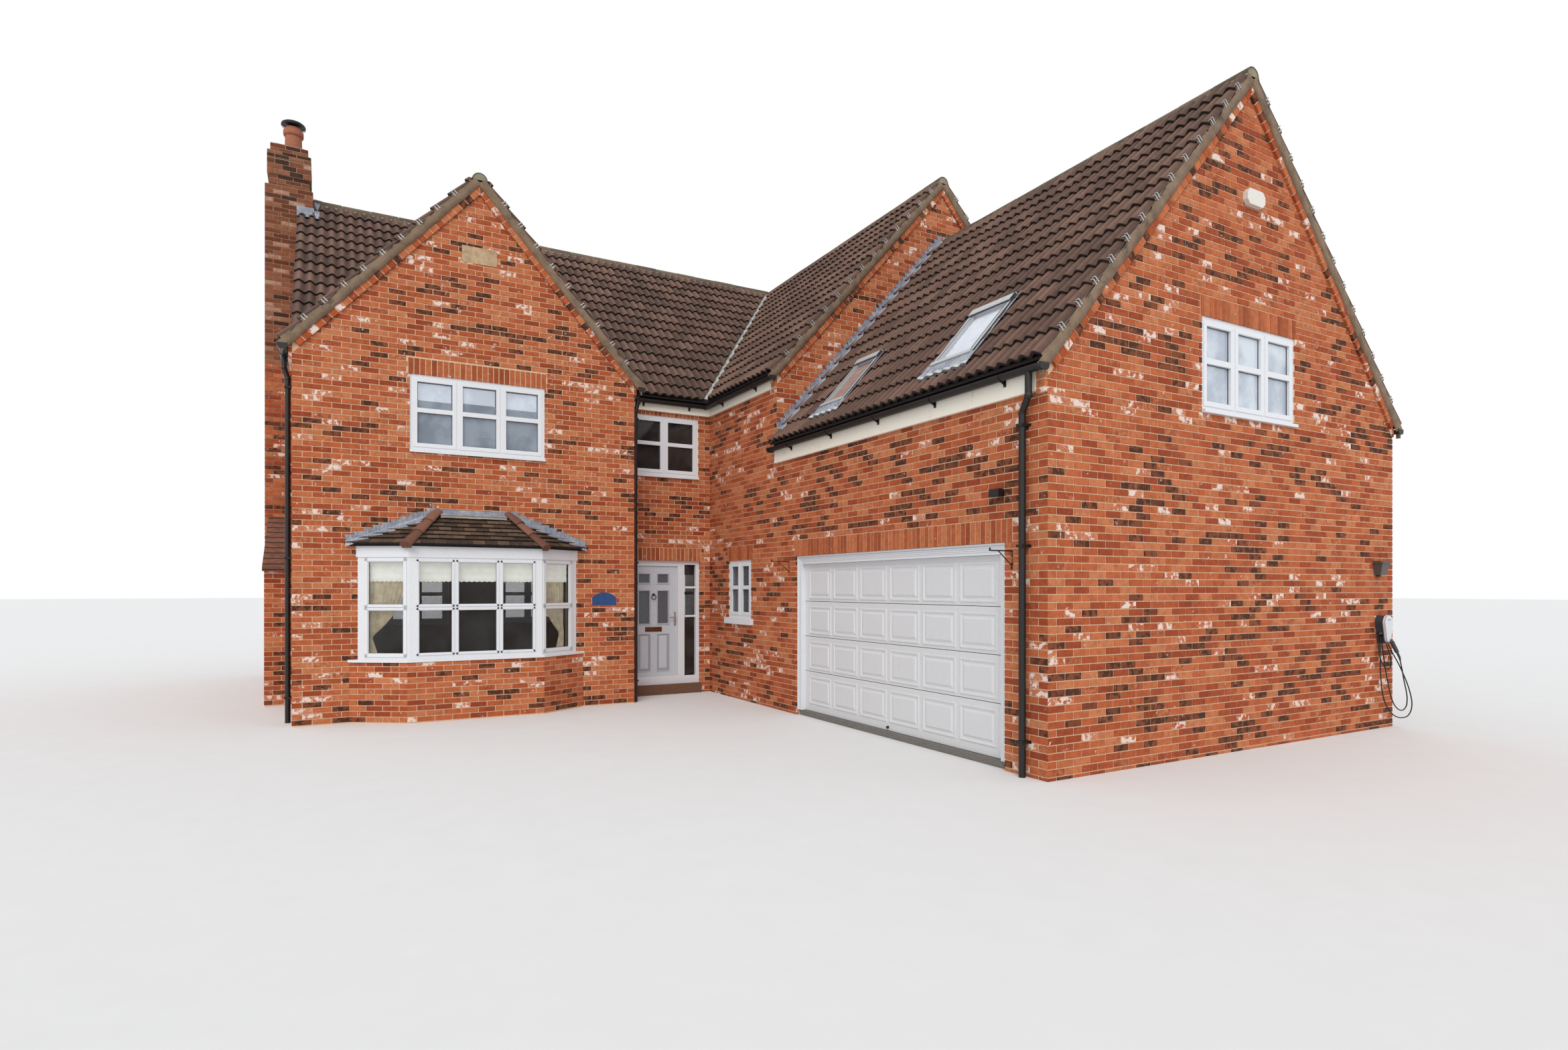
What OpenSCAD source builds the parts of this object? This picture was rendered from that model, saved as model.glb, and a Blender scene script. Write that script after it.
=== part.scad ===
// Detached two-storey brick house with a bay window, a recessed entrance and a garage wing.
// Millimetres, +Z up. Plan sizes run from the outer faces of the left wall and the left wing's front.
// The drawn house is shifted so that its origin lies at ground level under the main ridge.

/* [Plan] */
// Width of the left wing
left_wing_w = 4632; // [4400:1:4900]
// Depth of the entrance recess behind the left wing's front
recess = 780; // [500:1:1400]
// Width of the entrance between the two wings
entrance_w = 1658; // [1600:1:2200]
// Width of the right wing and of the garage in front of it
wing_w = 6350; // [5800:1:7000]
// Distance that the tall gable stands in front of the left wing
wing_front = 1680; // [1400:1:2200]
// Length of the garage wing in front of the tall gable
garage_len = 5270; // [5100:1:6500]
// Depth of the main block from its entrance wall to its ridge
main_half = 3670; // [3300:1:4200]
// Thickness of the outer cavity walls
wall_t = 300; // [250:1:350]

/* [Storeys] */
// Height of the house walls at the eaves
plate_z = 5050; // [5000:1:5400]
// Height of the garage walls at the eaves
garage_plate_z = 3970; // [3900:1:4200]
// Thickness of the ground-floor slab
slab_t = 150; // [100:1:200]
// Thickness of the garage slab
garage_slab_t = 75; // [50:1:100]
// Height of the ceiling under the upper floor
ceiling_z = 2550; // [2520:1:2700]
// Thickness of the upper floor
upper_floor_t = 250; // [150:1:300]

/* [Roofs] */
// Pitch of the wing and garage roofs in degrees
wing_pitch = 48.2; // [44:0.1:52]
// Thickness of the roof square to its slope
roof_t = 90; // [80:1:140]
// Overhang of the roofs past the gable walls
verge_oh = 50; // [40:1:100]
// Distance from the wall to the outer face of the fascia
eaves_oh = 50; // [40:1:160]
// Overhang of the lowest tiles past the fascia
tile_oh = 70; // [20:1:90]
// Thickness of the lowest tiles over the gutter
tile_t = 25; // [15:1:30]
// Radius of the half-round ridge tiles
ridge_r = 105; // [90:1:110]
// Height of the mortar bed under the ridge tiles
ridge_bed = 25; // [15:1:40]
// Width of the sloping brick band under each verge, square to the slope
band_w = 105; // [90:1:120]
// Projection of the sloping brick band from the gable
band_out = 28; // [15:1:40]

/* [Eaves] */
// Drop from the wall plate to the bottom of the fascia
fascia_drop = 225; // [200:1:280]
// Drop from the garage wall plate to the bottom of its fascia
garage_fascia_drop = 283; // [220:1:320]
// Thickness of the fascia boards
fascia_t = 20; // [16:1:25]
// Thickness of the soffit boards
soffit_t = 10; // [8:1:15]
// Outer radius of the half-round gutters
gutter_r = 56; // [50:1:60]
// Thickness of the gutters
gutter_t = 4; // [3:1:6]
// Drop from the wall plate to the rim of the gutter
gutter_drop = 62; // [55:1:150]
// Drop from the garage wall plate to the rim of its gutter
garage_gutter_drop = 62; // [55:1:120]
// Radius of the rainwater pipes
pipe_r = 34; // [30:1:40]
// Gap between a rainwater pipe and its wall
pipe_gap = 30; // [15:1:50]

/* [Windows] */
// Depth of the window frames from front to back
frame_d = 70; // [60:1:80]
// Face width of the outer frame and mullions
frame_w = 62; // [50:1:75]
// Face width of the casement stiles and rails
sash_w = 38; // [30:1:50]
// Thickness of the sealed glass units
glass_t = 24; // [18:1:28]
// Depth that the glass is held in the frame
glass_hold = 12; // [8:1:20]
// Set-back of the frames from the brick face
reveal = 12; // [10:1:30]
// Set-back of the front door's frame from the brick face
door_reveal = 50; // [30:1:80]
// Set-back of the garage door's frame from the brick face
garage_reveal = 35; // [25:1:60]
// Projection of the window sills from the brick face
sill_out = 45; // [30:1:70]
// Height of the window sills
sill_h = 35; // [25:1:50]
// Width of the left wing's upper window
left_window_w = 1850; // [1700:1:1900]
// Height of the sills of the upper windows
upper_sill_z = 3745; // [3700:1:3850]
// Height of the left wing's upper window
left_window_h = 1058; // [900:1:1120]
// Height of the other upper windows
upper_window_h = 1018; // [900:1:1060]
// Width of the window over the entrance
entrance_window_w = 1262; // [1000:1:1300]
// Distance from the window over the entrance to the right wing
entrance_window_gap = 222; // [150:1:260]
// Width of the garage gable window
garage_window_w = 1769; // [1600:1:1900]
// Width of the cloakroom window
cloak_w = 834; // [700:1:900]
// Height of the cloakroom window
cloak_h = 942; // [800:1:1000]
// Height of the cloakroom window's sill
cloak_z = 1330; // [1250:1:1400]
// Distance from the entrance wall to the cloakroom window
cloak_gap = 780; // [600:1:900]

/* [Bay window] */
// Distance from the middle of the left gable to the middle of the bay
bay_shift = 80; // [0:1:120]
// Width of the bay at the wall
bay_wall_w = 2970; // [2700:1:3100]
// Width of the bay's front light
bay_front_w = 1766; // [1600:1:1900]
// Projection of the bay's frame
bay_proj = 380; // [300:1:450]
// Height of the bay's brick base
bay_base_z = 820; // [700:1:900]
// Height of the bay's window frame
bay_frame_h = 1380; // [1200:1:1450]
// Height of the bay's fascia board
bay_fascia_h = 150; // [120:1:180]
// Rise of the bay's hipped roof
bay_roof_rise = 455; // [420:1:600]
// Length of the bay's top roof edge at the wall
bay_top_w = 972; // [800:1:1200]
// Projection of the brick base past the frame
bay_base_out = 50; // [40:1:60]
// Projection of the bay's eaves past the frame
bay_eaves_out = 55; // [50:1:120]

/* [Entrance] */
// Width of the door and side light frame
door_frame_w = 1355; // [1300:1:1370]
// Distance from the left wing to the door frame
door_frame_gap = 118; // [100:1:160]
// Height of the door frame above the ground
door_head_z = 2289; // [2200:1:2350]
// Height of the door step
step_z = 165; // [155:1:180]
// Width of the front door leaf
leaf_w = 900; // [850:1:915]
// Thickness of the front door leaf
leaf_t = 44; // [40:1:54]
// Running gap round the front door leaf
leaf_gap = 10; // [8:1:12]

/* [Garage door] */
// Distance from the garage front to the near jamb of its door
garage_door_gap = 551; // [450:1:650]
// Width of the garage door frame
garage_door_w = 4134; // [3900:1:4200]
// Height of the garage door head above the ground
garage_door_z = 2278; // [2200:1:2350]
// Face width of the garage door jambs
garage_jamb_w = 88; // [70:1:100]
// Face width of the garage door head
garage_head_h = 118; // [90:1:130]
// Columns of raised panels on the garage door
panel_cols = 6; // [4:1:8]
// Rows of raised panels on the garage door
panel_rows = 4; // [3:1:4]

/* [Chimney] */
// Width of the lower stack
stack_w = 700; // [600:1:760]
// Depth of the stack along the house
stack_d = 900; // [800:1:1100]
// Projection of the stack from the left wall
stack_out = 520; // [450:1:560]
// Height of the shoulder where the stack narrows
stack_z = 8717; // [8700:1:8800]
// Height of the stack's top
stack_top_z = 9460; // [9300:1:9700]
// Projection of the hearth masonry from the left wall
hearth_out = 440; // [400:1:460]
// Length of each hearth shoulder in front of and behind the stack
shoulder_len = 1600; // [1200:1:1800]
// Height of the outer wall under a hearth shoulder
shoulder_low_z = 2110; // [1900:1:2300]
// Height where a hearth shoulder meets the stack
shoulder_high_z = 2980; // [2900:1:3200]

/* [Rooflights] */
// Length of the rooflights up the slope
rooflight_len = 980; // [900:1:1000]
// Width of the far rooflight
rooflight_far_w = 550; // [500:1:600]
// Width of the near rooflight
rooflight_near_w = 660; // [600:1:700]
// Distance from the tall gable to the far rooflight
rooflight_far_y = 1000; // [800:1:1200]
// Distance from the tall gable to the near rooflight
rooflight_near_y = 3400; // [3200:1:3600]
// Level distance from the garage wall to the rooflights' lower edge
rooflight_x = 190; // [150:1:300]

/* [Hidden] */
$fn = 48;
big = 20000;
spare = 1000;

// Outer faces and ridge lines
wing_x = left_wing_w + entrance_w;
ridge_y = recess + main_half;
back_y = recess + 2 * main_half;
left_ridge_x = left_wing_w / 2;
wing_ridge_x = wing_x + wing_w / 2;
wing_right_x = wing_x + wing_w;
gable_y = -wing_front;
garage_y = gable_y - garage_len;
// The main roof's pitch follows from the ridge height that it shares with the tall wing
wing_rise = wing_w / 2 * tan(wing_pitch);
main_pitch = atan(wing_rise / main_half);
roof_top = plate_z + wing_rise;
stack_in = stack_w - stack_out;
// Mortar bed between the wall tops and the roofs on them
bed = 0.1;
wall_top = plate_z - bed;
garage_wall_top = garage_plate_z - bed;

// Bay plan
bay_c = left_ridge_x - bay_shift;
bay_cant = atan(bay_proj / ((bay_wall_w - bay_front_w) / 2));
bay_frame_z = bay_base_z + sill_h;
bay_head_z = bay_frame_z + bay_frame_h;
bay_roof_z = bay_head_z + bay_fascia_h;

// Entrance
door_x = left_wing_w + door_frame_gap;
door_y = recess + door_reveal;
jamb_w = 65;
leaf_lip = 15;
lip_t = 20;
threshold_h = 120;
leaf_x = door_x + jamb_w + leaf_gap / 2;
leaf_y = door_y + frame_d - leaf_t;
leaf_z = step_z + threshold_h + leaf_gap;
leaf_top_z = door_head_z - jamb_w - leaf_gap;
leaf_h = leaf_top_z - leaf_z;
lock_x = leaf_x + leaf_w + leaf_gap;
// Butt hinges on the inner face, with their pins on one upright line
knuckle_r = 7.7;
pin_r = 4;
pin_play = 0.1;
knuckle_h = 100;
hinge_x = leaf_x - leaf_gap / 2;
hinge_y = door_y + frame_d + knuckle_r + 0.3;
hinge_list = [leaf_z + 180, leaf_z + leaf_h / 2 - knuckle_h / 2, leaf_z + leaf_h - 180 - knuckle_h];

// Window places, as small shifts from the middle of their gables
left_window_x = left_ridge_x - left_window_w / 2 + 4;
entrance_window_x = wing_x - entrance_window_gap - entrance_window_w;
garage_window_x = wing_ridge_x - garage_window_w / 2 + 26;
back_window_z = 1000;
back_window_h = 1280;
back_left_x = 1000;
back_gap = 2240;
back_mid_x = wing_x - back_gap;

// Garage door
garage_door_y0 = garage_y + garage_door_gap;

// Point 0,0,0 of the drawn house
datum = [wing_x, ridge_y, 0];

module at_datum() { translate(-datum) children(); }

// A profile of Y and Z drawn out along X
module along_x(x, len) { translate([x, 0, 0]) rotate([90, 0, 90]) linear_extrude(len) children(); }
// A profile of X and Z drawn out along Y
module along_y(y, len) { translate([0, y + len, 0]) rotate([90, 0, 0]) linear_extrude(len) children(); }
module rect(a, b, w, h) { translate([a, b]) square([w, h]); }

// Level of a roof's underside, and of its tiled face, a distance in from the wall face
function under_z(plate, pitch, d) = plate + d * tan(pitch);
function top_z(plate, pitch, d) = under_z(plate, pitch, d) + roof_t / cos(pitch);

// Wall outline with a gable over it
module gable(c, half, plate, pitch) {
    polygon([[c - half, 0], [c + half, 0], [c + half, plate - bed], [c, under_z(plate, pitch, half) - bed],
        [c - half, plate - bed]]);
}

// Section of a roof with two slopes, notched over the fascias and flat under the ridge tiles
module roof_section(c, half, plate, pitch) {
    edge = half + eaves_oh + tile_oh;
    polygon([for (s = [-1, 1]) for (p = s < 0 ? [
            [edge, top_z(plate, pitch, half - edge) - tile_t], [edge, top_z(plate, pitch, half - edge)],
            [ridge_r, top_z(plate, pitch, half - ridge_r)]] : [
            [ridge_r, top_z(plate, pitch, half - ridge_r)], [edge, top_z(plate, pitch, half - edge)],
            [edge, top_z(plate, pitch, half - edge) - tile_t]]) [c + s * p[0], p[1]],
        [c + half + eaves_oh, top_z(plate, pitch, -eaves_oh) - tile_t],
        [c + half + eaves_oh, under_z(plate, pitch, -eaves_oh)],
        [c, under_z(plate, pitch, half)],
        [c - half - eaves_oh, under_z(plate, pitch, -eaves_oh)],
        [c - half - eaves_oh, top_z(plate, pitch, -eaves_oh) - tile_t]]);
}

// Everything below a roof's tiled face or, with inner set, below its underside
module under_roof(c, half, plate, pitch, inner = false) {
    edge = half + (inner ? eaves_oh : eaves_oh + tile_oh);
    lift = inner ? 0 : roof_t / cos(pitch) + bed;
    low = under_z(plate, pitch, half - edge) + lift;
    polygon([[c - edge, low - 1.5 * spare], [c + edge, low - 1.5 * spare], [c + edge, low],
        [c, under_z(plate, pitch, half) + lift], [c - edge, low]]);
}

module under_main(inner) { along_x(-spare, wing_ridge_x + spare)
    under_roof(ridge_y, main_half, plate_z, main_pitch, inner); }
module under_left_wing() { along_y(-spare, ridge_y + spare)
    under_roof(left_ridge_x, left_wing_w / 2, plate_z, wing_pitch, true); }
module under_tall_wing() { along_y(gable_y - spare, back_y - gable_y + 2 * spare)
    under_roof(wing_ridge_x, wing_w / 2, plate_z, wing_pitch); }

// Inside of the house walls, seen from above
module house_inside() {
    rect(wall_t, wall_t, left_wing_w - 2 * wall_t, recess);
    rect(wall_t, recess + wall_t, wing_right_x - 2 * wall_t, 2 * main_half - 2 * wall_t);
    rect(wing_x + wall_t, gable_y + wall_t, wing_w - 2 * wall_t, wing_front + recess);
}
module garage_inside() {
    rect(wing_x + wall_t, garage_y + wall_t, wing_w - 2 * wall_t, garage_len - wall_t);
}

module ground_floors() {
    color("lightgray") linear_extrude(garage_slab_t) garage_inside();
    color("lightgray") linear_extrude(slab_t) {
        house_inside();
        intersection() {
            polygon(bay_plan(bay_base_t - bay_base_out));
            rect(bay_open_x, -bay_proj, bay_open_w, bay_proj);
        }
        rect(bay_open_x, 0, bay_open_w, wall_t + 1);
    }
}
module upper_floors() {
    color("burlywood") translate([0, 0, ceiling_z]) linear_extrude(upper_floor_t) {
        house_inside();
        garage_inside();
    }
}

// Bay outline, moved in by t from the frame's outer face, or out where t is negative
bay_x0 = bay_c - bay_wall_w / 2;
bay_base_t = 215;
bay_open_x = bay_x0 + 100;
bay_open_w = bay_wall_w - 200;
function bay_arris_x(t) = bay_x0 + t * sin(bay_cant) + (bay_proj - t + t * cos(bay_cant)) / tan(bay_cant);
function bay_plan(t) = [[bay_x0 + t / sin(bay_cant), 0], [bay_arris_x(t), t - bay_proj],
    [2 * bay_c - bay_arris_x(t), t - bay_proj], [2 * bay_c - bay_x0 - t / sin(bay_cant), 0]];

// Walls, with each window's hole cut down to the underside of its sill
module window_hole(x, z, w, h) { rect(x, z - sill_h, w, h + sill_h); }
module left_wing_front_wall() {
    color("sienna") along_y(0, wall_t) difference() {
        gable(left_ridge_x, left_wing_w / 2, plate_z, wing_pitch);
        rect(bay_open_x, -1, bay_open_w, bay_head_z + 1);
        window_hole(left_window_x, upper_sill_z, left_window_w, left_window_h);
    }
}
module left_side_wall() {
    color("sienna") difference() {
        along_x(0, wall_t) polygon([[wall_t, 0], [back_y - wall_t, 0],
            [back_y - wall_t, under_z(wall_top, main_pitch, wall_t)], [ridge_y, roof_top - bed],
            [recess, wall_top], [wall_t, wall_top]]);
        stack_box(stack_out, stack_in, 0, stack_z);
    }
}
module left_wing_return_wall() {
    color("sienna") translate([left_wing_w - wall_t, wall_t, 0]) cube([wall_t, recess, wall_top]);
}
module entrance_upper_wall() {
    color("sienna") along_y(recess, wall_t) difference() {
        rect(left_wing_w, door_head_z, wing_x - left_wing_w, wall_top - door_head_z);
        window_hole(entrance_window_x, upper_sill_z, entrance_window_w, upper_window_h);
    }
}
module entrance_piers() {
    color("sienna") {
        translate([left_wing_w, recess, 0]) cube([door_frame_gap, wall_t, door_head_z]);
        translate([door_x + door_frame_w, recess, 0])
            cube([wing_x - door_x - door_frame_w, wall_t, door_head_z]);
    }
}
module wing_left_wall() {
    color("sienna") along_x(wing_x, wall_t) difference() {
        polygon([[garage_y + wall_t, 0], [recess + wall_t, 0], [recess + wall_t, wall_top],
            [gable_y, wall_top], [gable_y, garage_wall_top], [garage_y + wall_t, garage_wall_top]]);
        rect(garage_door_y0, -1, garage_door_w, garage_door_z + 1);
        window_hole(recess - cloak_gap - cloak_w, cloak_z, cloak_w, cloak_h);
    }
}
module tall_gable_wall() {
    color("sienna") along_y(gable_y, wall_t) difference() {
        gable(wing_ridge_x, wing_w / 2, plate_z, wing_pitch);
        for (x = [wing_x, wing_right_x - wall_t]) rect(x, -1, wall_t, plate_z + 1);
    }
}
module garage_front_wall() {
    color("sienna") along_y(garage_y, wall_t) difference() {
        gable(wing_ridge_x, wing_w / 2, garage_plate_z, wing_pitch);
        window_hole(garage_window_x, upper_sill_z, garage_window_w, upper_window_h);
    }
}
module right_side_wall() {
    color("sienna") along_x(wing_right_x - wall_t, wall_t) polygon([[garage_y + wall_t, 0],
        [back_y - wall_t, 0], [back_y - wall_t, wall_top], [gable_y, wall_top], [gable_y, garage_wall_top],
        [garage_y + wall_t, garage_wall_top]]);
}

// Back windows as left edge, sill height, width, height and lights
back_list = [
    [back_left_x, back_window_z, left_window_w, back_window_h, 3],
    [back_mid_x, back_window_z, entrance_window_w, back_window_h, 2],
    [wing_ridge_x - left_window_w / 2, back_window_z, left_window_w, back_window_h, 3],
    [back_left_x, upper_sill_z, left_window_w, left_window_h, 3],
    [back_mid_x, upper_sill_z, entrance_window_w, left_window_h, 2],
    [wing_ridge_x - left_window_w / 2, upper_sill_z, left_window_w, left_window_h, 3]];
module back_wall() {
    color("sienna") along_y(back_y - wall_t, wall_t) difference() {
        union() {
            square([wing_x, wall_top]);
            gable(wing_ridge_x, wing_w / 2, plate_z, wing_pitch);
        }
        for (b = back_list) window_hole(b[0], b[1], b[2], b[3]);
    }
}

// Roofs: the wings' roofs stop at the main roof, and the main roof stops at the tall wing's
module main_roof() {
    color("rosybrown") difference() {
        along_x(-verge_oh, wing_ridge_x - ridge_r + verge_oh)
            roof_section(ridge_y, main_half, plate_z, main_pitch);
        under_left_wing();
        under_tall_wing();
        stack_box(stack_out, stack_in, 0, stack_z);
    }
}
module left_wing_roof() {
    color("rosybrown") difference() {
        along_y(-verge_oh, ridge_y + verge_oh) roof_section(left_ridge_x, left_wing_w / 2, plate_z, wing_pitch);
        under_main(false);
    }
}
module tall_wing_roof() {
    color("rosybrown") difference() {
        along_y(gable_y - verge_oh, back_y - gable_y + 2 * verge_oh)
            roof_section(wing_ridge_x, wing_w / 2, plate_z, wing_pitch);
        under_main(true);
    }
}
module garage_roof() {
    color("rosybrown") difference() {
        along_y(garage_y - verge_oh, garage_len + verge_oh)
            roof_section(wing_ridge_x, wing_w / 2, garage_plate_z, wing_pitch);
        each_rooflight() translate([rooflight_rim, rooflight_rim, -roof_t - 1])
            cube([rooflight_len - 2 * rooflight_rim, $width - 2 * rooflight_rim, 2 * roof_t + 2]);
    }
}

// Half-round ridge tiles bedded on the flat tops of the roofs
module ridge_section(c, z) {
    intersection() {
        translate([c, z + ridge_bed]) circle(ridge_r);
        rect(c - ridge_r, z + ridge_bed, 2 * ridge_r, ridge_r);
    }
    rect(c - ridge_r + 1, z + bed, 2 * ridge_r - 2, ridge_bed);
}
module ridge_tiles() {
    main_z = top_z(plate_z, main_pitch, main_half - ridge_r);
    wing_z = top_z(plate_z, wing_pitch, wing_w / 2 - ridge_r);
    left_z = top_z(plate_z, wing_pitch, left_wing_w / 2 - ridge_r);
    garage_z = top_z(garage_plate_z, wing_pitch, wing_w / 2 - ridge_r);
    color("dimgray") {
        along_y(gable_y - verge_oh, back_y - gable_y + 2 * verge_oh) ridge_section(wing_ridge_x, wing_z);
        difference() {
            along_x(stack_in, wing_ridge_x - stack_in) ridge_section(ridge_y, main_z);
            under_tall_wing();
            along_y(gable_y, back_y) ridge_section(wing_ridge_x, wing_z);
        }
        difference() {
            along_y(-verge_oh, ridge_y) ridge_section(left_ridge_x, left_z);
            under_main(false);
        }
        along_y(garage_y - verge_oh, garage_len + verge_oh) ridge_section(wing_ridge_x, garage_z);
    }
}

// Projecting brick bands that follow the verges of the three front gables
module verge_band(c, half, plate, y) {
    drop = band_w / cos(wing_pitch);
    low = plate - bed;
    top = under_z(low, wing_pitch, half);
    foot = drop / tan(wing_pitch);
    along_y(y - band_out, band_out) polygon([[c - half, low], [c, top], [c + half, low],
        [c + half - foot, low], [c, top - drop], [c - half + foot, low]]);
}
module verge_bands() {
    color("peru") {
        verge_band(left_ridge_x, left_wing_w / 2, plate_z, 0);
        verge_band(wing_ridge_x, wing_w / 2, plate_z, gable_y);
        verge_band(wing_ridge_x, wing_w / 2, garage_plate_z, garage_y);
        for (side = [-1, 1]) {
            kneeler(left_ridge_x, left_wing_w / 2, plate_z, 0, side, fascia_drop);
            kneeler(wing_ridge_x, wing_w / 2, plate_z, gable_y, side, fascia_drop);
            kneeler(wing_ridge_x, wing_w / 2, garage_plate_z, garage_y, side, side < 0 ? 310 : 160);
        }
    }
}

// Eaves runs, each drawn along +X from its left end as seen from outside, then turned to its wall
module eaves_run(x, y, turn, len) { translate([x, y, 0]) rotate([0, 0, turn]) children(); }
module fascia_section(plate, pitch, drop) {
    polygon([[0, plate - drop], [-eaves_oh, plate - drop], [-eaves_oh, under_z(plate - bed, pitch, -eaves_oh)],
        [fascia_t - eaves_oh, under_z(plate - bed, pitch, fascia_t - eaves_oh)],
        [fascia_t - eaves_oh, plate - drop + soffit_t], [0, plate - drop + soffit_t]]);
}
module gutter_section(plate, drop) {
    translate([-eaves_oh - gutter_r, plate - drop]) intersection() {
        difference() { circle(gutter_r); circle(gutter_r - gutter_t); }
        rect(-gutter_r, -gutter_r, 2 * gutter_r, gutter_r);
    }
}
// Brick kneelers close the eaves at each foot of the front gables
kneel_t = 102;
kneel_gap = 10;
kneel_end = kneel_t + band_out;
module kneeler(c, half, plate, y, side, drop) {
    out = eaves_oh - kneel_gap;
    along_y(y, kneel_t) translate([c + side * half, 0]) scale([side, 1]) polygon([[0, plate - drop],
        [out, plate - drop], [out, under_z(plate - bed, wing_pitch, -out)], [0, plate - bed]]);
}

// Start, turn, length, plate height, pitch, fascia drop and gutter drop of each run of eaves, and
// how far its fascia stops short at the start and at the end
eaves_list = [
    [[left_wing_w, -band_out], 90, recess - eaves_oh + band_out, plate_z, wing_pitch, fascia_drop, gutter_drop,
        kneel_end, 0],
    [[left_wing_w, recess], 0, wing_x - left_wing_w, plate_z, main_pitch, fascia_drop, gutter_drop, 0, 0],
    [[wing_x, recess - eaves_oh], 270, wing_front + recess - eaves_oh + band_out, plate_z, wing_pitch,
        fascia_drop, gutter_drop, 0, kneel_end],
    [[0, recess], 270, recess + band_out, plate_z, wing_pitch, fascia_drop, gutter_drop, 0, kneel_end],
    [[wing_x, gable_y], 270, garage_len + band_out, garage_plate_z, wing_pitch, garage_fascia_drop,
        garage_gutter_drop, 0, kneel_end],
    [[wing_right_x, garage_y - band_out], 90, garage_len + band_out, garage_plate_z, wing_pitch,
        garage_fascia_drop, garage_gutter_drop, kneel_end, 0],
    [[wing_right_x, gable_y], 90, back_y - gable_y, plate_z, wing_pitch, fascia_drop, gutter_drop,
        kneel_t, 0],
    [[wing_x - eaves_oh, back_y], 180, wing_x - eaves_oh, plate_z, main_pitch, fascia_drop, gutter_drop, 0, 0]];
module fascias() {
    color("white") for (e = eaves_list) translate([e[0][0], e[0][1], 0]) rotate([0, 0, e[1]])
        along_x(e[7], e[2] - e[7] - e[8]) fascia_section(e[3], e[4], e[5]);
}
module gutters() {
    // The runs in the recess meet at its two inner corners
    inset = eaves_oh + gutter_r;
    color([0.1, 0.1, 0.1]) {
        for (i = [3:7]) { e = eaves_list[i]; translate([e[0][0], e[0][1], 0]) rotate([0, 0, e[1]])
            along_x(0, e[2]) gutter_section(e[3], e[6]); }
        difference() {
            union() {
                along_y(-band_out, recess - eaves_oh + band_out) translate([left_wing_w, 0]) mirror([1, 0])
                    gutter_section(plate_z, gutter_drop);
                along_y(gable_y - band_out, recess - eaves_oh - gable_y + band_out) translate([wing_x, 0])
                    gutter_section(plate_z, gutter_drop);
            }
            translate([left_wing_w + inset, recess - inset, plate_z - gutter_drop]) rotate([0, 90, 0])
                cylinder(r = gutter_r - gutter_t, h = wing_x - left_wing_w - 2 * inset);
        }
        translate([0, recess, 0]) along_x(left_wing_w + inset, wing_x - left_wing_w - 2 * inset)
            gutter_section(plate_z, gutter_drop);
    }
}

// Rainwater pipe from its gutter's outlet, with two bends and clips, against a wall that faces
// the given way; the run between the bends stays under the fascia
neck_h = 140;
clip_list = [325, 2210];
module downpipe(x, y, turn, top, drop, fascia, side) {
    out = pipe_gap + pipe_r;
    gutter_out = eaves_oh + gutter_r;
    bend_r = pipe_r + 5;
    neck_z = top - fascia - bend_r - 6;
    wall_z = neck_z - neck_h;
    translate([x, y, 0]) rotate([0, 0, turn]) {
        difference() {
            translate([side, -gutter_out, neck_z]) cylinder(r = pipe_r, h = top - drop - neck_z);
            translate([side - 2 * pipe_r, -gutter_out, top - drop]) rotate([0, 90, 0])
                cylinder(r = gutter_r + bed, h = 4 * pipe_r);
        }
        translate([0, -out, 0]) cylinder(r = pipe_r, h = wall_z);
        translate([side, -gutter_out, neck_z]) sphere(bend_r);
        translate([0, -out, wall_z]) sphere(bend_r);
        run = [-side, gutter_out - out, wall_z - neck_z];
        translate([side, -gutter_out, neck_z])
            rotate([0, acos(run[2] / norm(run)), atan2(run[1], run[0])]) cylinder(r = pipe_r - 1, h = norm(run));
        for (z = concat(clip_list, [wall_z - 130])) {
            translate([-pipe_r - 8, -out - pipe_r - 6, z]) cube([2 * pipe_r + 16, out + pipe_r + 6, 28]);
            translate([-pipe_r - 26, -8, z]) cube([2 * pipe_r + 52, 8, 28]);
        }
    }
}
pipe_corner = 120;
pipe_left_y = 450;
pipe_back = 400;
module downpipes() {
    color([0.1, 0.1, 0.1]) {
        downpipe(0, pipe_left_y, 270, plate_z, gutter_drop, fascia_drop, 0);
        downpipe(left_wing_w, pipe_corner, 90, plate_z, gutter_drop, fascia_drop, 0);
        downpipe(wing_x, garage_y + 2 * pipe_corner + 20, 270, garage_plate_z, garage_gutter_drop,
            garage_fascia_drop, pipe_corner);
        downpipe(wing_right_x, garage_y + pipe_back, 90, garage_plate_z, garage_gutter_drop, garage_fascia_drop, 0);
        downpipe(wing_right_x, back_y - pipe_back, 90, plate_z, gutter_drop, fascia_drop, 0);
        downpipe(pipe_back, back_y, 180, plate_z, gutter_drop, fascia_drop, 0);
    }
}

// Chimney
module stack_box(left, right, z0, z1) {
    translate([-left, ridge_y - stack_d / 2, z0]) cube([left + right, stack_d, z1 - z0]);
}
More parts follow.
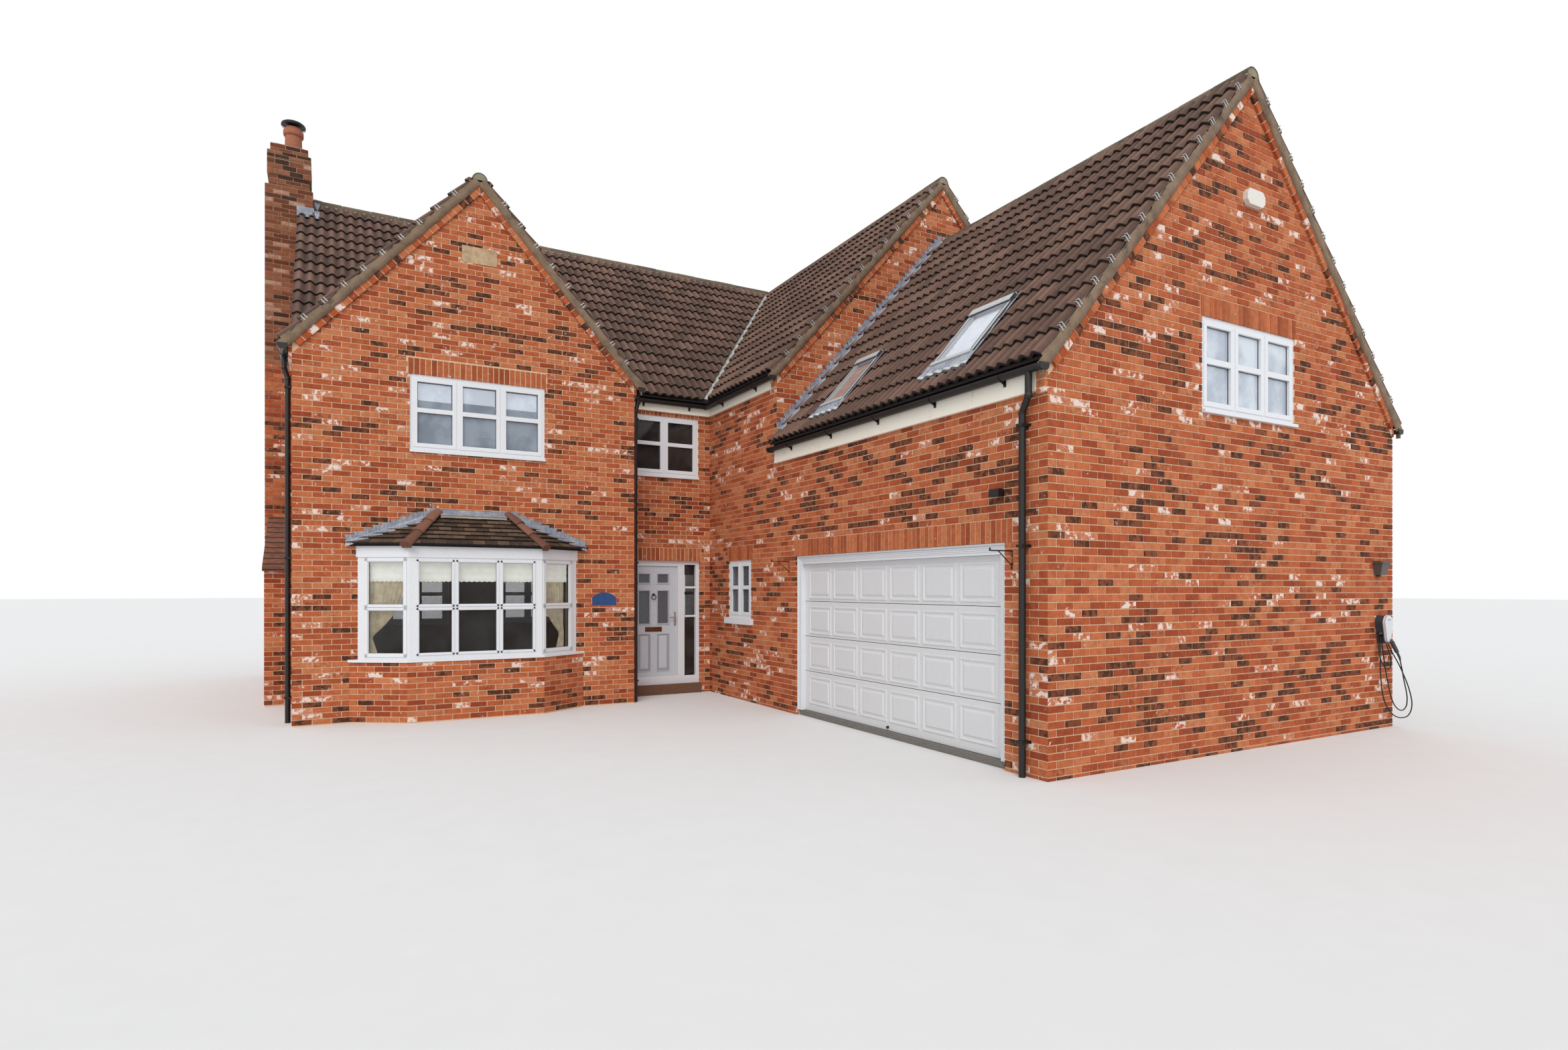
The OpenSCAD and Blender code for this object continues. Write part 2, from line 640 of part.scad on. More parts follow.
// A course band round the stack: inset from the lower stack on every side
module stack_band(inset, z0, z1) {
    translate([inset - stack_out, ridge_y - stack_d / 2 + inset, z0])
        cube([stack_w - 2 * inset, stack_d - 2 * inset, z1 - z0]);
}
module chimney_stack() {
    color("sienna") {
        stack_box(stack_out, stack_in, 0, stack_z);
        stack_band(55, stack_z, neck_z1);
        stack_band(30, neck_z1, groove_z0);
        stack_band(42, groove_z0, groove_z1);
        stack_band(30, groove_z1, stack_top_z - 140);
        stack_band(75, stack_top_z - 140, stack_top_z);
        for (i = [0:3]) stack_band(100 + 20 * i, stack_top_z, stack_top_z + 12 * (i + 1));
    }
}
neck_z1 = stack_top_z - 540;
groove_z0 = stack_top_z - 280;
groove_z1 = stack_top_z - 258;
pot_x = stack_in - stack_w / 2 + 50;
pot_z = stack_top_z + 48;
pot_h = 440;
pot_r = 138;
pot_hole_r = 105;
module chimney_pot() {
    color("indianred") translate([pot_x, ridge_y, pot_z]) rotate_extrude()
        polygon([[0, 0], [pot_r + 8, 0], [pot_r + 8, 30], [pot_r - 4, 50], [pot_r - 8, pot_h - 150],
            [pot_r + 14, pot_h - 138], [pot_r + 20, pot_h - 112], [pot_r + 20, pot_h - 62],
            [pot_r + 12, pot_h - 44], [pot_r - 10, pot_h - 34], [pot_r - 10, pot_h], [pot_hole_r, pot_h],
            [pot_hole_r, 90], [0, 90]]);
}
// Metal cowl: a shallow dome on four straps that stand on the pot's rim
cowl_r = 190;
cowl_h = 62;
cowl_gap = 42;
module chimney_cowl() {
    color([0.15, 0.15, 0.15]) translate([pot_x, ridge_y, pot_z + pot_h]) {
        translate([0, 0, cowl_gap]) rotate_extrude() polygon(concat([[0, 0]],
            [for (a = [0:15:75]) [cowl_r * cos(a), 14 + cowl_h * sin(a)]], [[0, 14 + cowl_h]]));
        for (a = [45:90:315]) rotate([0, 0, a]) translate([pot_hole_r + 2, -10, 0]) cube([18, 20, cowl_gap]);
        translate([0, 0, cowl_gap - 8]) difference() { cylinder(r = cowl_r, h = 8); translate([0, 0, -1])
            cylinder(r = cowl_r - 6, h = 12); }
        for (a = [45, 135]) rotate([0, 0, a]) translate([-cowl_r + 3, -10, cowl_gap - 8]) cube([2 * cowl_r - 6, 20, 9]);
    }
}

// Masonry of the hearth on both sides of the stack, and the tiled shoulders over it
module hearth_shape(lift) {
    y0 = ridge_y - stack_d / 2;
    polygon([[y0 - shoulder_len, 0], [y0, 0], [y0, shoulder_high_z + lift],
        [y0 - shoulder_len, shoulder_low_z + lift]]);
}
module both_sides() { children(); translate([0, 2 * ridge_y, 0]) mirror([0, 1, 0]) children(); }
module hearth_wall() { color("sienna") both_sides() along_x(-hearth_out, hearth_out) hearth_shape(-bed); }
module hearth_tiles() {
    color("rosybrown") both_sides() difference() {
        along_x(-hearth_out - 30, hearth_out + 30) difference() {
            y0 = ridge_y - stack_d / 2;
            slope = (shoulder_high_z - shoulder_low_z) / shoulder_len;
            polygon([[y0 - shoulder_len - 60, shoulder_low_z - 60 * slope], [y0, shoulder_high_z],
                [y0, shoulder_high_z + 60], [y0 - shoulder_len - 60, shoulder_low_z + 60 - 60 * slope]]);
        }
    }
}

// Bay
module bay_strip(t0, t1) { difference() { polygon(bay_plan(t0)); polygon(bay_plan(t1)); } }
module bay_base() { color("sienna") linear_extrude(bay_base_z) bay_strip(-bay_base_out, bay_base_t - bay_base_out); }
bay_transom_z = 660;
module bay_window() {
    color("white") {
        translate([0, 0, bay_base_z]) linear_extrude(sill_h) bay_strip(-bay_base_out - 15, frame_d);
        difference() {
            union() {
                for (z = [0, bay_transom_z, bay_frame_h - frame_w]) translate([0, 0, bay_frame_z + z])
                    linear_extrude(frame_w + sash_w / 2) bay_strip(0, frame_d);
                translate([0, 0, bay_frame_z]) linear_extrude(bay_frame_h) intersection() {
                    bay_strip(0, frame_d);
                    bay_posts();
                }
            }
            translate([0, 0, bay_frame_z + frame_w - glass_hold]) linear_extrude(bay_glass_h) bay_glass_plan();
            translate([0, 0, bay_head_z]) linear_extrude(200) bay_strip(-100, 200);
        }
    }
}
// Posts at the wall and the arrises, and two mullions in the front light
module bay_posts() {
    for (s = [0, 1]) translate([s * 2 * bay_c, 0]) mirror([s, 0]) {
        rect(bay_x0 - 10, -140, 140, 150);
        rect(bay_arris_x(0) - 60, -bay_proj - 10, 190, 150);
        rect(bay_c - bay_front_w / 6 - 43, -bay_proj - 10, 86, 100);
    }
}
bay_glass_h = bay_frame_h - 2 * frame_w + 2 * glass_hold;
module bay_glass_plan() {
    intersection() {
        bay_strip(frame_d / 2 - glass_t / 2, frame_d / 2 + glass_t / 2);
        rect(bay_x0 + 90, -bay_proj, bay_wall_w - 180, bay_proj - 70);
    }
}
module bay_fascia() { color("white") translate([0, 0, bay_head_z]) linear_extrude(bay_fascia_h) bay_strip(-12, frame_d); }
module bay_roof() {
    plan = bay_plan(-bay_eaves_out);
    top = bay_roof_z + bay_roof_rise;
    color("rosybrown") polyhedron([for (p = plan) [p[0], p[1], bay_roof_z], for (p = plan) [p[0], p[1],
            bay_roof_z + bay_edge], [bay_c - bay_top_w / 2, 0, top], [bay_c + bay_top_w / 2, 0, top]],
        [[0, 1, 2, 3], [0, 4, 5, 1], [1, 5, 6, 2], [2, 6, 7, 3], [4, 8, 5], [5, 8, 9, 6], [6, 9, 7],
            [3, 7, 9, 8, 4, 0]]);
}

// A window frame of equal lights with one transom, its outer face at y, drawn towards +Y
function light_w(w, n) = (w - 2 * frame_w - (n - 1) * frame_w) / n;
module window_bars(w, h, n, transom) {
    difference() {
        square([w, h]);
        for (i = [0:n - 1], j = [0, 1]) {
            x = frame_w + i * (light_w(w, n) + frame_w) + sash_w;
            z = j == 0 ? frame_w + sash_w : transom + frame_w / 2;
            top = j == 0 ? transom - frame_w / 2 : h - frame_w - sash_w;
            rect(x, z, light_w(w, n) - 2 * sash_w, top - z);
        }
    }
}
module window_frame(w, h, n, transom) {
    difference() {
        union() {
            along_y(0, frame_d) window_bars(w, h, n, transom);
            for (i = [0:n - 1]) along_y(-8, 8) difference() {
                x = frame_w * 0.75 + i * (light_w(w, n) + frame_w);
                inner = sash_w + frame_w / 4;
                rect(x, frame_w * 0.75, light_w(w, n) + frame_w / 2, h - frame_w * 1.5);
                rect(x + inner, frame_w * 0.75 + inner, light_w(w, n) + frame_w / 2 - 2 * inner,
                    transom - frame_w / 2 - frame_w * 0.75 - inner);
                rect(x + inner, transom + frame_w / 2, light_w(w, n) + frame_w / 2 - 2 * inner,
                    h - frame_w * 0.75 - inner - transom - frame_w / 2);
            }
            translate([0, -reveal - sill_out, -sill_h]) cube([w, wall_t + sill_out, sill_h]);
        }
        window_sheet(w, h);
    }
}
module window_sheet(w, h) {
    edge = frame_w + sash_w - glass_hold;
    along_y(frame_d / 2 - glass_t / 2, glass_t) rect(edge, edge, w - 2 * edge, h - 2 * edge);
}
function mid_transom(h) = h * 0.53;

// Each window's place, with the frame drawn by its children
module at_left_window() { translate([left_window_x, reveal, upper_sill_z]) children(); }
module at_entrance_window() { translate([entrance_window_x, recess + reveal, upper_sill_z]) children(); }
module at_garage_window() { translate([garage_window_x, garage_y + reveal, upper_sill_z]) children(); }
module at_cloakroom() {
    translate([wing_x + reveal, recess - cloak_gap, cloak_z]) rotate([0, 0, 270]) children();
}
module at_back(b) { translate([b[0] + b[2], back_y - reveal, b[1]]) rotate([0, 0, 180]) children(); }

module upper_windows() {
    color("white") {
        at_left_window() window_frame(left_window_w, left_window_h, 3, mid_transom(left_window_h));
        at_entrance_window() window_frame(entrance_window_w, upper_window_h, 2, mid_transom(upper_window_h));
        at_garage_window() window_frame(garage_window_w, upper_window_h, 3, mid_transom(upper_window_h));
    }
}
// The cloakroom's sill is deeper than the others and runs past the opening at both ends
cloak_sill_h = 100;
cloak_horn = 60;
module cloakroom_window() {
    color("white") at_cloakroom() {
        window_frame(cloak_w, cloak_h, 2, mid_transom(cloak_h));
        translate([-cloak_horn, -reveal - sill_out - 15, -cloak_sill_h])
            cube([cloak_w + 2 * cloak_horn, sill_out + 15, cloak_sill_h]);
    }
}
module back_windows() {
    color("white") for (b = back_list) at_back(b) window_frame(b[2], b[3], b[4], mid_transom(b[3]));
}
module window_glass() {
    color([0.6, 0.7, 0.8, 0.5]) {
        at_left_window() window_sheet(left_window_w, left_window_h);
        at_entrance_window() window_sheet(entrance_window_w, upper_window_h);
        at_garage_window() window_sheet(garage_window_w, upper_window_h);
        at_cloakroom() window_sheet(cloak_w, cloak_h);
        for (b = back_list) at_back(b) window_sheet(b[2], b[3]);
        translate([0, 0, bay_frame_z + frame_w - glass_hold]) linear_extrude(bay_glass_h) bay_glass_plan();
        side_light();
        each_rooflight() rooflight_pane();
    }
}

// Rooflights in the garage's left slope, drawn with X up the slope and Z out of it
rooflight_rim = 60;
rooflight_h = 65;
module each_rooflight() {
    for (r = [[rooflight_far_y, rooflight_far_w], [rooflight_near_y, rooflight_near_w]]) {
        $width = r[1];
        translate([wing_x + rooflight_x, gable_y - r[0] - r[1], top_z(garage_plate_z, wing_pitch, rooflight_x)])
            rotate([0, -wing_pitch, 0]) children();
    }
}
module rooflight_pane() {
    translate([rooflight_rim, rooflight_rim, rooflight_h - 40])
        cube([rooflight_len - 2 * rooflight_rim, $width - 2 * rooflight_rim, glass_t]);
}
module rooflights() {
    color("silver") each_rooflight() difference() {
        union() {
            translate([0, 0, bed]) cube([rooflight_len, $width, rooflight_h]);
            translate([rooflight_len - 80, -12, bed]) cube([110, $width + 24, rooflight_h + 14]);
        }
        translate([rooflight_rim, rooflight_rim, -1])
            cube([rooflight_len - 2 * rooflight_rim, $width - 2 * rooflight_rim, rooflight_h + 40]);
    }
}

// Front door with its frame and side light
side_x = lock_x + jamb_w + 35;
side_w = door_x + door_frame_w - jamb_w - side_x;
side_bottom = step_z + threshold_h + 10;
side_bars = [1330, 1830];
bar_w = 34;
side_h = door_head_z - jamb_w - side_bottom;
module front_door_frame() {
    color("white") difference() {
        union() {
            along_y(door_y, frame_d) difference() {
                rect(door_x, step_z, door_frame_w, door_head_z - step_z);
                rect(leaf_x - leaf_gap / 2, step_z + threshold_h, lock_x - leaf_x + leaf_gap / 2,
                    door_head_z - jamb_w - step_z - threshold_h);
                rect(side_x, side_bottom, side_w, side_h);
            }
            // Stops that the leaf closes against, and the bars of the side light
            along_y(door_y, lip_t) difference() {
                rect(door_x, step_z, lock_x + jamb_w - door_x, door_head_z - step_z);
                rect(leaf_x + leaf_lip, leaf_z + leaf_lip, leaf_w - 2 * leaf_lip, leaf_h - 2 * leaf_lip);
            }
            for (z = side_bars) along_y(door_y + 12, frame_d - 24) rect(side_x - 1, z - bar_w / 2, side_w + 2, bar_w);
        }
        side_light();
    }
    color("silver") for (z = hinge_list) {
        for (k = [0, 0.66]) translate([hinge_x, hinge_y, z + k * knuckle_h]) {
            cylinder(r = knuckle_r, h = 0.34 * knuckle_h);
            translate([-24, door_y + frame_d - hinge_y, 0]) cube([24, knuckle_r, 0.34 * knuckle_h]);
        }
        translate([hinge_x, hinge_y, z]) cylinder(r = pin_r, h = knuckle_h);
    }
}
module side_light() {
    along_y(door_y + frame_d / 2 - glass_t / 2, glass_t)
        rect(side_x - glass_hold, side_bottom - glass_hold, side_w + 2 * glass_hold, side_h + 2 * glass_hold);
}

// Glass lights and raised panels of the leaf as bottom and height, in two columns about its middle
light_cw = 186;
light_off = 76;
small_light = [1911, 142];
tall_light = [1214, 552];
low_panel = [420, 600];
bead_w = 22;
module leaf_columns() {
    for (s = [-1, 1]) translate([leaf_x + leaf_w / 2 + (s < 0 ? -light_off - light_cw : light_off), 0]) children();
}
module front_door() {
    color("silver") for (z = hinge_list) difference() {
        translate([hinge_x, hinge_y, z + 0.34 * knuckle_h + 0.3]) union() {
            cylinder(r = knuckle_r, h = 0.32 * knuckle_h - 0.6);
            translate([0, door_y + frame_d - hinge_y, 0]) cube([30, knuckle_r, 0.32 * knuckle_h - 0.6]);
        }
        translate([hinge_x, hinge_y, z]) cylinder(r = pin_r + pin_play, h = knuckle_h);
    }
    color("lightgray") difference() {
        union() {
            translate([leaf_x, leaf_y, leaf_z]) cube([leaf_w, leaf_t, leaf_h]);
            along_y(leaf_y - 8, 8) leaf_columns() {
                difference() {
                    rect(-bead_w, low_panel[0] - bead_w, light_cw + 2 * bead_w, low_panel[1] + 2 * bead_w);
                    rect(0, low_panel[0], light_cw, low_panel[1]);
                }
                rect(bead_w, low_panel[0] + bead_w, light_cw - 2 * bead_w, low_panel[1] - 2 * bead_w);
                for (l = [small_light, tall_light])
                    rect(-bead_w, l[0] - bead_w, light_cw + 2 * bead_w, l[1] + 2 * bead_w);
            }
        }
        along_y(leaf_y - 9, leaf_t + 18) leaf_columns() for (l = [small_light, tall_light])
            rect(0, l[0], light_cw, l[1]);
    }
}
module door_glass() {
    color([0.6, 0.7, 0.8, 0.5]) along_y(leaf_y + 10, glass_t) leaf_columns() for (l = [small_light, tall_light])
        rect(0, l[0], light_cw, l[1]);
}
handle_z = 1290;
plate_w = 36;
plate_h = 240;
lever_w = 115;
letter_z = 1072;
letter_w = 300;
letter_h = 80;
knocker_z = 1706;
// A lever handle on its plate, drawn away from the leaf towards -Y
module lever() {
    translate([-plate_w / 2, -10, handle_z - plate_h / 2]) cube([plate_w, 10, plate_h]);
    translate([0, -9, handle_z + 20]) rotate([90, 0, 0]) cylinder(r = 10, h = 46);
    translate([10 - lever_w, -66, handle_z + 11]) cube([lever_w, 12, 18]);
    translate([0, -9, handle_z - 60]) rotate([90, 0, 0]) cylinder(r = 13, h = 9);
}
module door_fittings() {
    color("silver") {
        handle_x = leaf_x + leaf_w - 62;
        mid_x = leaf_x + leaf_w / 2;
        translate([handle_x, leaf_y, 0]) lever();
        translate([handle_x, leaf_y + leaf_t, 0]) mirror([0, 1, 0]) lever();
        translate([mid_x - letter_w / 2, leaf_y - 8, letter_z]) cube([letter_w, 8, letter_h]);
        translate([mid_x - letter_w / 2 + 25, leaf_y - 14, letter_z + 16]) cube([letter_w - 50, 7, letter_h - 32]);
        translate([mid_x, leaf_y, knocker_z]) rotate([90, 0, 0]) {
            cylinder(r = 22, h = 10);
            cylinder(r = 9, h = 26);
        }
        translate([mid_x, leaf_y - 18, knocker_z - 42]) rotate([90, 0, 0]) difference() {
            cylinder(r = 45, h = 8);
            translate([0, 0, -1]) cylinder(r = 34, h = 10);
        }
    }
}

// Garage door, drawn from the near jamb towards the house
leaf_set = 60;
groove = 6;
row_pitch = 496;
bottom_row = 562;
panel_edge = 117;
panel_gap = 64;
module garage_door() {
    y0 = garage_door_y0 + garage_jamb_w;
    w = garage_door_w - 2 * garage_jamb_w;
    h = garage_door_z - garage_head_h - garage_slab_t;
    panel_w = (w - 2 * panel_edge + panel_gap) / panel_cols - panel_gap;
    // Height of each section's foot and head
    function foot(j) = j == 0 ? 0 : bottom_row + (j - 1) * row_pitch;
    function head(j) = j == panel_rows - 1 ? h : bottom_row + j * row_pitch;
    inset = 30;
    color("white") {
        difference() {
            along_x(wing_x + garage_reveal + leaf_set, 42) rect(y0, garage_slab_t, w, h);
            for (j = [1:panel_rows - 1]) along_x(wing_x + garage_reveal + leaf_set - 1, 9)
                rect(y0 - 1, garage_slab_t + foot(j) - groove / 2, w + 2, groove);
        }
        for (i = [0:panel_cols - 1], j = [0:panel_rows - 1])
            let (tall = head(j) - foot(j) - (j == 0 ? 165 : 100))
            translate([wing_x + garage_reveal + leaf_set, y0 + panel_edge + i * (panel_w + panel_gap),
                garage_slab_t + head(j) - 64 - tall]) {
                translate([-6, 0, 0]) cube([7, panel_w, tall]);
                translate([-12, inset, inset]) cube([12, panel_w - 2 * inset, tall - 2 * inset]);
            }
        translate([wing_x + garage_reveal + leaf_set + 1, y0 + w / 2, garage_slab_t + 42]) rotate([0, 270, 0])
            cylinder(r = 18, h = 30);
    }
}
// The frame's outer moulding stands in front of its inner part
module garage_door_frame() {
    lip = 26;
    color("white") {
        along_x(wing_x + garage_reveal - 20, leaf_set + 62) difference() {
            rect(garage_door_y0, garage_slab_t, garage_door_w, garage_door_z - garage_slab_t);
            rect(garage_door_y0 + lip, garage_slab_t - 1, garage_door_w - 2 * lip,
                garage_door_z - lip - garage_slab_t + 1);
        }
        along_x(wing_x + garage_reveal, leaf_set + 42) difference() {
            rect(garage_door_y0 + lip / 2, garage_slab_t, garage_door_w - lip, garage_door_z - lip / 2 - garage_slab_t);
            rect(garage_door_y0 + garage_jamb_w, garage_slab_t - 1, garage_door_w - 2 * garage_jamb_w,
                garage_door_z - garage_head_h - garage_slab_t + 1);
        }
    }
}

module door_step() {
    color("saddlebrown") translate([door_x, recess - 60, 0]) cube([door_frame_w, wall_t + 60, step_z]);
}

// Bare tablets: the date stone high in the left gable and the arched plate beside the bay
stone_w = 475;
stone_h = 235;
stone_z = 6485;
plate_mid_x = left_wing_w - 482;
tablet_w = 380;
tablet_h = 200;
tablet_z = 1550;
module wall_tablets() {
    color("gainsboro") along_y(-10, 10) rect(left_ridge_x - stone_w / 2, stone_z, stone_w, stone_h);
    color("royalblue") along_y(-8, 8) translate([plate_mid_x, tablet_z]) intersection() {
        translate([0, tablet_h - tablet_w * 0.68]) circle(tablet_w * 0.68);
        rect(-tablet_w / 2, 0, tablet_w, tablet_h);
    }
}
alarm_w = 335;
alarm_h = 175;
alarm_x = wing_ridge_x + 47;
alarm_z = 6205;
alarm_d = 62;
module alarm_box() {
    color("gainsboro") along_y(garage_y - alarm_d, alarm_d) translate([alarm_x, alarm_z])
        scale([alarm_w, alarm_h]) polygon([[-0.5, -0.22], [-0.5, 0.22], [-0.36, 0.5], [0.36, 0.5], [0.5, 0.22],
            [0.5, -0.22], [0.36, -0.5], [-0.36, -0.5]]);
}
// Half lantern that tapers downwards under a wider cap
lantern_x = wing_right_x - 395;
lantern_w = 220;
lantern_d = 130;
lantern_z = 1985;
lantern_h = 150;
module wall_lantern() {
    color("dimgray") translate([lantern_x, garage_y, lantern_z]) {
        hull() {
            translate([-lantern_w * 0.3, -lantern_d * 0.6, 0]) cube([lantern_w * 0.6, lantern_d * 0.6, 6]);
            translate([-lantern_w * 0.45, -lantern_d * 0.9, lantern_h - 6]) cube([lantern_w * 0.9, lantern_d * 0.9, 6]);
        }
        translate([-lantern_w / 2, -lantern_d, lantern_h]) cube([lantern_w, lantern_d, 16]);
        translate([-lantern_w * 0.35, -lantern_d * 0.7, lantern_h + 16]) cube([lantern_w * 0.7, lantern_d * 0.7, 16]);
        translate([-15, -lantern_d * 0.4, -22]) cube([30, lantern_d * 0.4, 23]);
    }
}

// Charging unit: back plate, housing, tapered front cover, cable saddle and the plug in its holster
unit_x = wing_right_x - 345;
unit_z = 1375;
unit_r = 98;
tip_r = 55;
tip_drop = 200;
saddle_r = 53;
saddle_at = [15, 1158];
housing_d = 80;
cover_d = 42;
plug_top = [60, -128, 1130];
plug_end = [124, -184, 933];
plug_r = 24;
module unit_shape(inset) { hull() { circle(unit_r - inset); translate([0, -tip_drop]) circle(tip_r - inset); } }
module charge_point() {
    color("darkslategray") translate([unit_x, garage_y, 0]) {
        along_y(-16, 16) translate([0, unit_z]) unit_shape(0);
        along_y(-housing_d, housing_d) translate([0, unit_z]) intersection() {
            unit_shape(8);
            rect(-unit_r, -130, 2 * unit_r, 2 * unit_r + 130);
        }
        along_y(-housing_d - 1, housing_d + 1) translate(saddle_at) circle(saddle_r);
        along_y(-housing_d - cover_d, cover_d) translate([0, unit_z]) unit_shape(0);
        axis = plug_end - plug_top;
        translate(plug_top) rotate([0, acos(axis[2] / norm(axis)), atan2(axis[1], axis[0])]) {
            cylinder(r = plug_r, h = norm(axis) * 0.7);
            cylinder(r = plug_r * 0.6, h = norm(axis));
        }
        translate([plug_top[0] - 45, -housing_d - cover_d - 12, plug_top[2] - 30]) cube([60, 14, 60]);
    }
}
// The charger's lead hangs in loops over the saddle, along these points from the unit's middle
cable_r = 7;
cable_route = [
    [-50, -25, 1245], [-50, -25, 1210], [-55, -28, 1150], [-71, -37, 1067], [-93, -52, 982], [-102, -75, 896],
    [-83, -88, 841], [-48, -97, 800], [-13, -103, 781], [21, -106, 776], [55, -106, 786],
    [86, -103, 810], [117, -94, 860], [128, -81, 928], [114, -64, 1015], [90, -48, 1100],
    [69, -42, 1187], [50, -42, 1210], [23, -43, 1221], [-7, -43, 1218], [-31, -44, 1200],
    [-45, -45, 1174], [-52, -46, 1130], [-56, -47, 1040], [-60, -49, 950], [-65, -52, 860],
    [-70, -56, 770], [-76, -63, 681], [-79, -71, 591], [-80, -81, 502], [-73, -93, 413],
    [-53, -109, 327], [-15, -130, 248], [45, -156, 187], [113, -183, 155], [187, -213, 155],
    [229, -230, 174], [262, -241, 209], [289, -249, 273], [295, -249, 357], [280, -241, 446],
    [260, -229, 533], [234, -214, 617], [207, -195, 701], [181, -174, 785], [154, -149, 867],
    [128, -120, 949], [104, -92, 1030], [86, -68, 1115], [76, -62, 1169], [64, -61, 1196],
    [41, -61, 1216], [12, -62, 1222], [-16, -62, 1213], [-38, -62, 1193], [-47, -62, 1162],
    [-41, -62, 1112], [-24, -62, 1024], [-2, -62, 936], [18, -64, 849], [32, -69, 760], [40, -79, 671],
    [43, -93, 582], [45, -109, 493], [52, -126, 405], [73, -148, 321], [104, -167, 273],
    [126, -177, 256], [152, -188, 246], [180, -198, 249], [205, -206, 263], [227, -212, 289],
    [243, -216, 331], [247, -217, 405], [233, -213, 494], [211, -206, 581], [188, -201, 668],
    [165, -199, 755], [143, -193, 842], [125, -185, 930]];
cable_sides = 8;
function cable_way(i) = let (n = len(cable_route), a = cable_route[max(0, i - 1)], b = cable_route[min(n - 1, i + 1)])
    (b - a) / norm(b - a);
// Each ring's two directions square to the way, turned as little as possible from the ring before
function cable_rings(i = 0, u = [1, 0, 0], out = []) = i == len(cable_route) ? out :
    let (w = cable_way(i), raw = u - (u * w) * w, v = raw / norm(raw), c = cross(w, v))
    cable_rings(i + 1, v, concat(out, [for (k = [0:cable_sides - 1]) cable_route[i]
        + cable_r * cos(360 * k / cable_sides) * v + cable_r * sin(360 * k / cable_sides) * c]));
module charge_cable() {
    n = len(cable_route);
    m = cable_sides;
    color([0.05, 0.05, 0.05]) translate([unit_x, garage_y, 0]) polyhedron(cable_rings(), concat(
        [[for (k = [0:m - 1]) k]], [[for (k = [m - 1:-1:0]) (n - 1) * m + k]],
        [for (i = [0:n - 2], k = [0:m - 1]) [i * m + k, (i + 1) * m + k, (i + 1) * m + (k + 1) % m]],
        [for (i = [0:n - 2], k = [0:m - 1]) [i * m + k, (i + 1) * m + (k + 1) % m, i * m + (k + 1) % m]]));
}
light_z = 2770;
light_y = garage_y + 595;
module security_light() {
    color([0.15, 0.15, 0.15]) translate([wing_x, light_y, light_z]) {
        translate([-20, -35, -35]) cube([20, 70, 70]);
        translate([-60, -18, -14]) cube([41, 36, 28]);
        translate([-115, -68, -40]) cube([60, 136, 74]);
    }
}
// Iron brackets for hanging baskets: back bar, arm, brace and hook
bracket_h = 190;
bracket_arm = 300;
bracket_bar = 12;
bracket_gap = [370, 95];
bracket_z = [2210, 2190];
bracket_list = [[gable_y - bracket_gap[0], bracket_z[0]], [garage_door_y0 - bracket_gap[1], bracket_z[1]]];
module basket_brackets() {
    color([0.12, 0.12, 0.12]) for (b = bracket_list) translate([wing_x, b[0], b[1]]) {
        translate([-6, -15, -bracket_h]) cube([6, 30, bracket_h]);
        translate([-bracket_arm, -bracket_bar / 2, -bracket_bar]) cube([bracket_arm, bracket_bar, bracket_bar]);
        translate([-bracket_arm, -bracket_bar / 2, -bracket_bar]) cube([bracket_bar, bracket_bar, 34]);
        reach = bracket_arm * 0.62;
        drop = bracket_h * 0.78;
        translate([-reach, 0, -bracket_bar / 2]) rotate([0, 90 + atan(drop / reach), 0])
            translate([-bracket_bar / 4, -bracket_bar / 2, 0]) cube([bracket_bar / 2, bracket_bar, norm([reach, drop]) - 5]);
    }
}

// Lead: stepped flashing over the garage and bay roofs, aprons under the rooflights and round the stack
lead_t = 6;
course_h = 75;
lead_up = 185;
module stepped(x0, x1, z0, pitch, steps) {
    // Upper edge in steps of two courses along a line that rises from x0 to x1
    run = (x1 - x0) / steps;
    rise = abs(run) * tan(pitch);
    polygon(concat([[x0, z0]], [for (i = [0:steps - 1], k = [0, 1]) [x0 + (i + k * 0.75) * run,
        z0 + i * rise + lead_up + (k == 1 ? 0 : -25)]], [[x1, z0 + steps * rise + lead_up], [x1, z0 + steps * rise]]));
}
module lead_flashings() {
    low = top_z(garage_plate_z, wing_pitch, 0) + 1;
    color("slategray") {
        along_y(gable_y - lead_t, lead_t) difference() {
            union() {
                stepped(wing_x, wing_ridge_x, low, wing_pitch, 24);
                stepped(wing_right_x, wing_ridge_x, low, wing_pitch, 24);
            }
            translate([wing_ridge_x, top_z(garage_plate_z, wing_pitch, wing_w / 2 - ridge_r) + ridge_bed + bed])
                circle(ridge_r);
            rect(wing_ridge_x - ridge_r, garage_plate_z, 2 * ridge_r, top_z(garage_plate_z, wing_pitch, wing_w / 2 - ridge_r)
                + ridge_bed + bed - garage_plate_z);
        }
        along_y(-lead_t, lead_t) bay_lead();
        each_rooflight() translate([-rooflight_x / cos(wing_pitch), -50, bed])
            cube([rooflight_x / cos(wing_pitch), $width + 100, lead_t]);
    }
}
// The wall strip over the bay's roof follows its hips and its top edge
bay_edge = 30;
module bay_lead() {
    ends = bay_wall_w / 2 + bay_eaves_out / sin(bay_cant);
    band = 110;
    for (s = [-1, 1]) translate([bay_c, bay_roof_z]) scale([s, 1]) polygon([[ends, bay_edge + bed],
        [ends, bay_edge + band], [bay_top_w / 2, bay_roof_rise + band], [bay_top_w / 2, bay_roof_rise + bed]]);
    rect(bay_c - bay_top_w / 2, bay_roof_z + bay_roof_rise + bed, bay_top_w, 80 - bed);
}

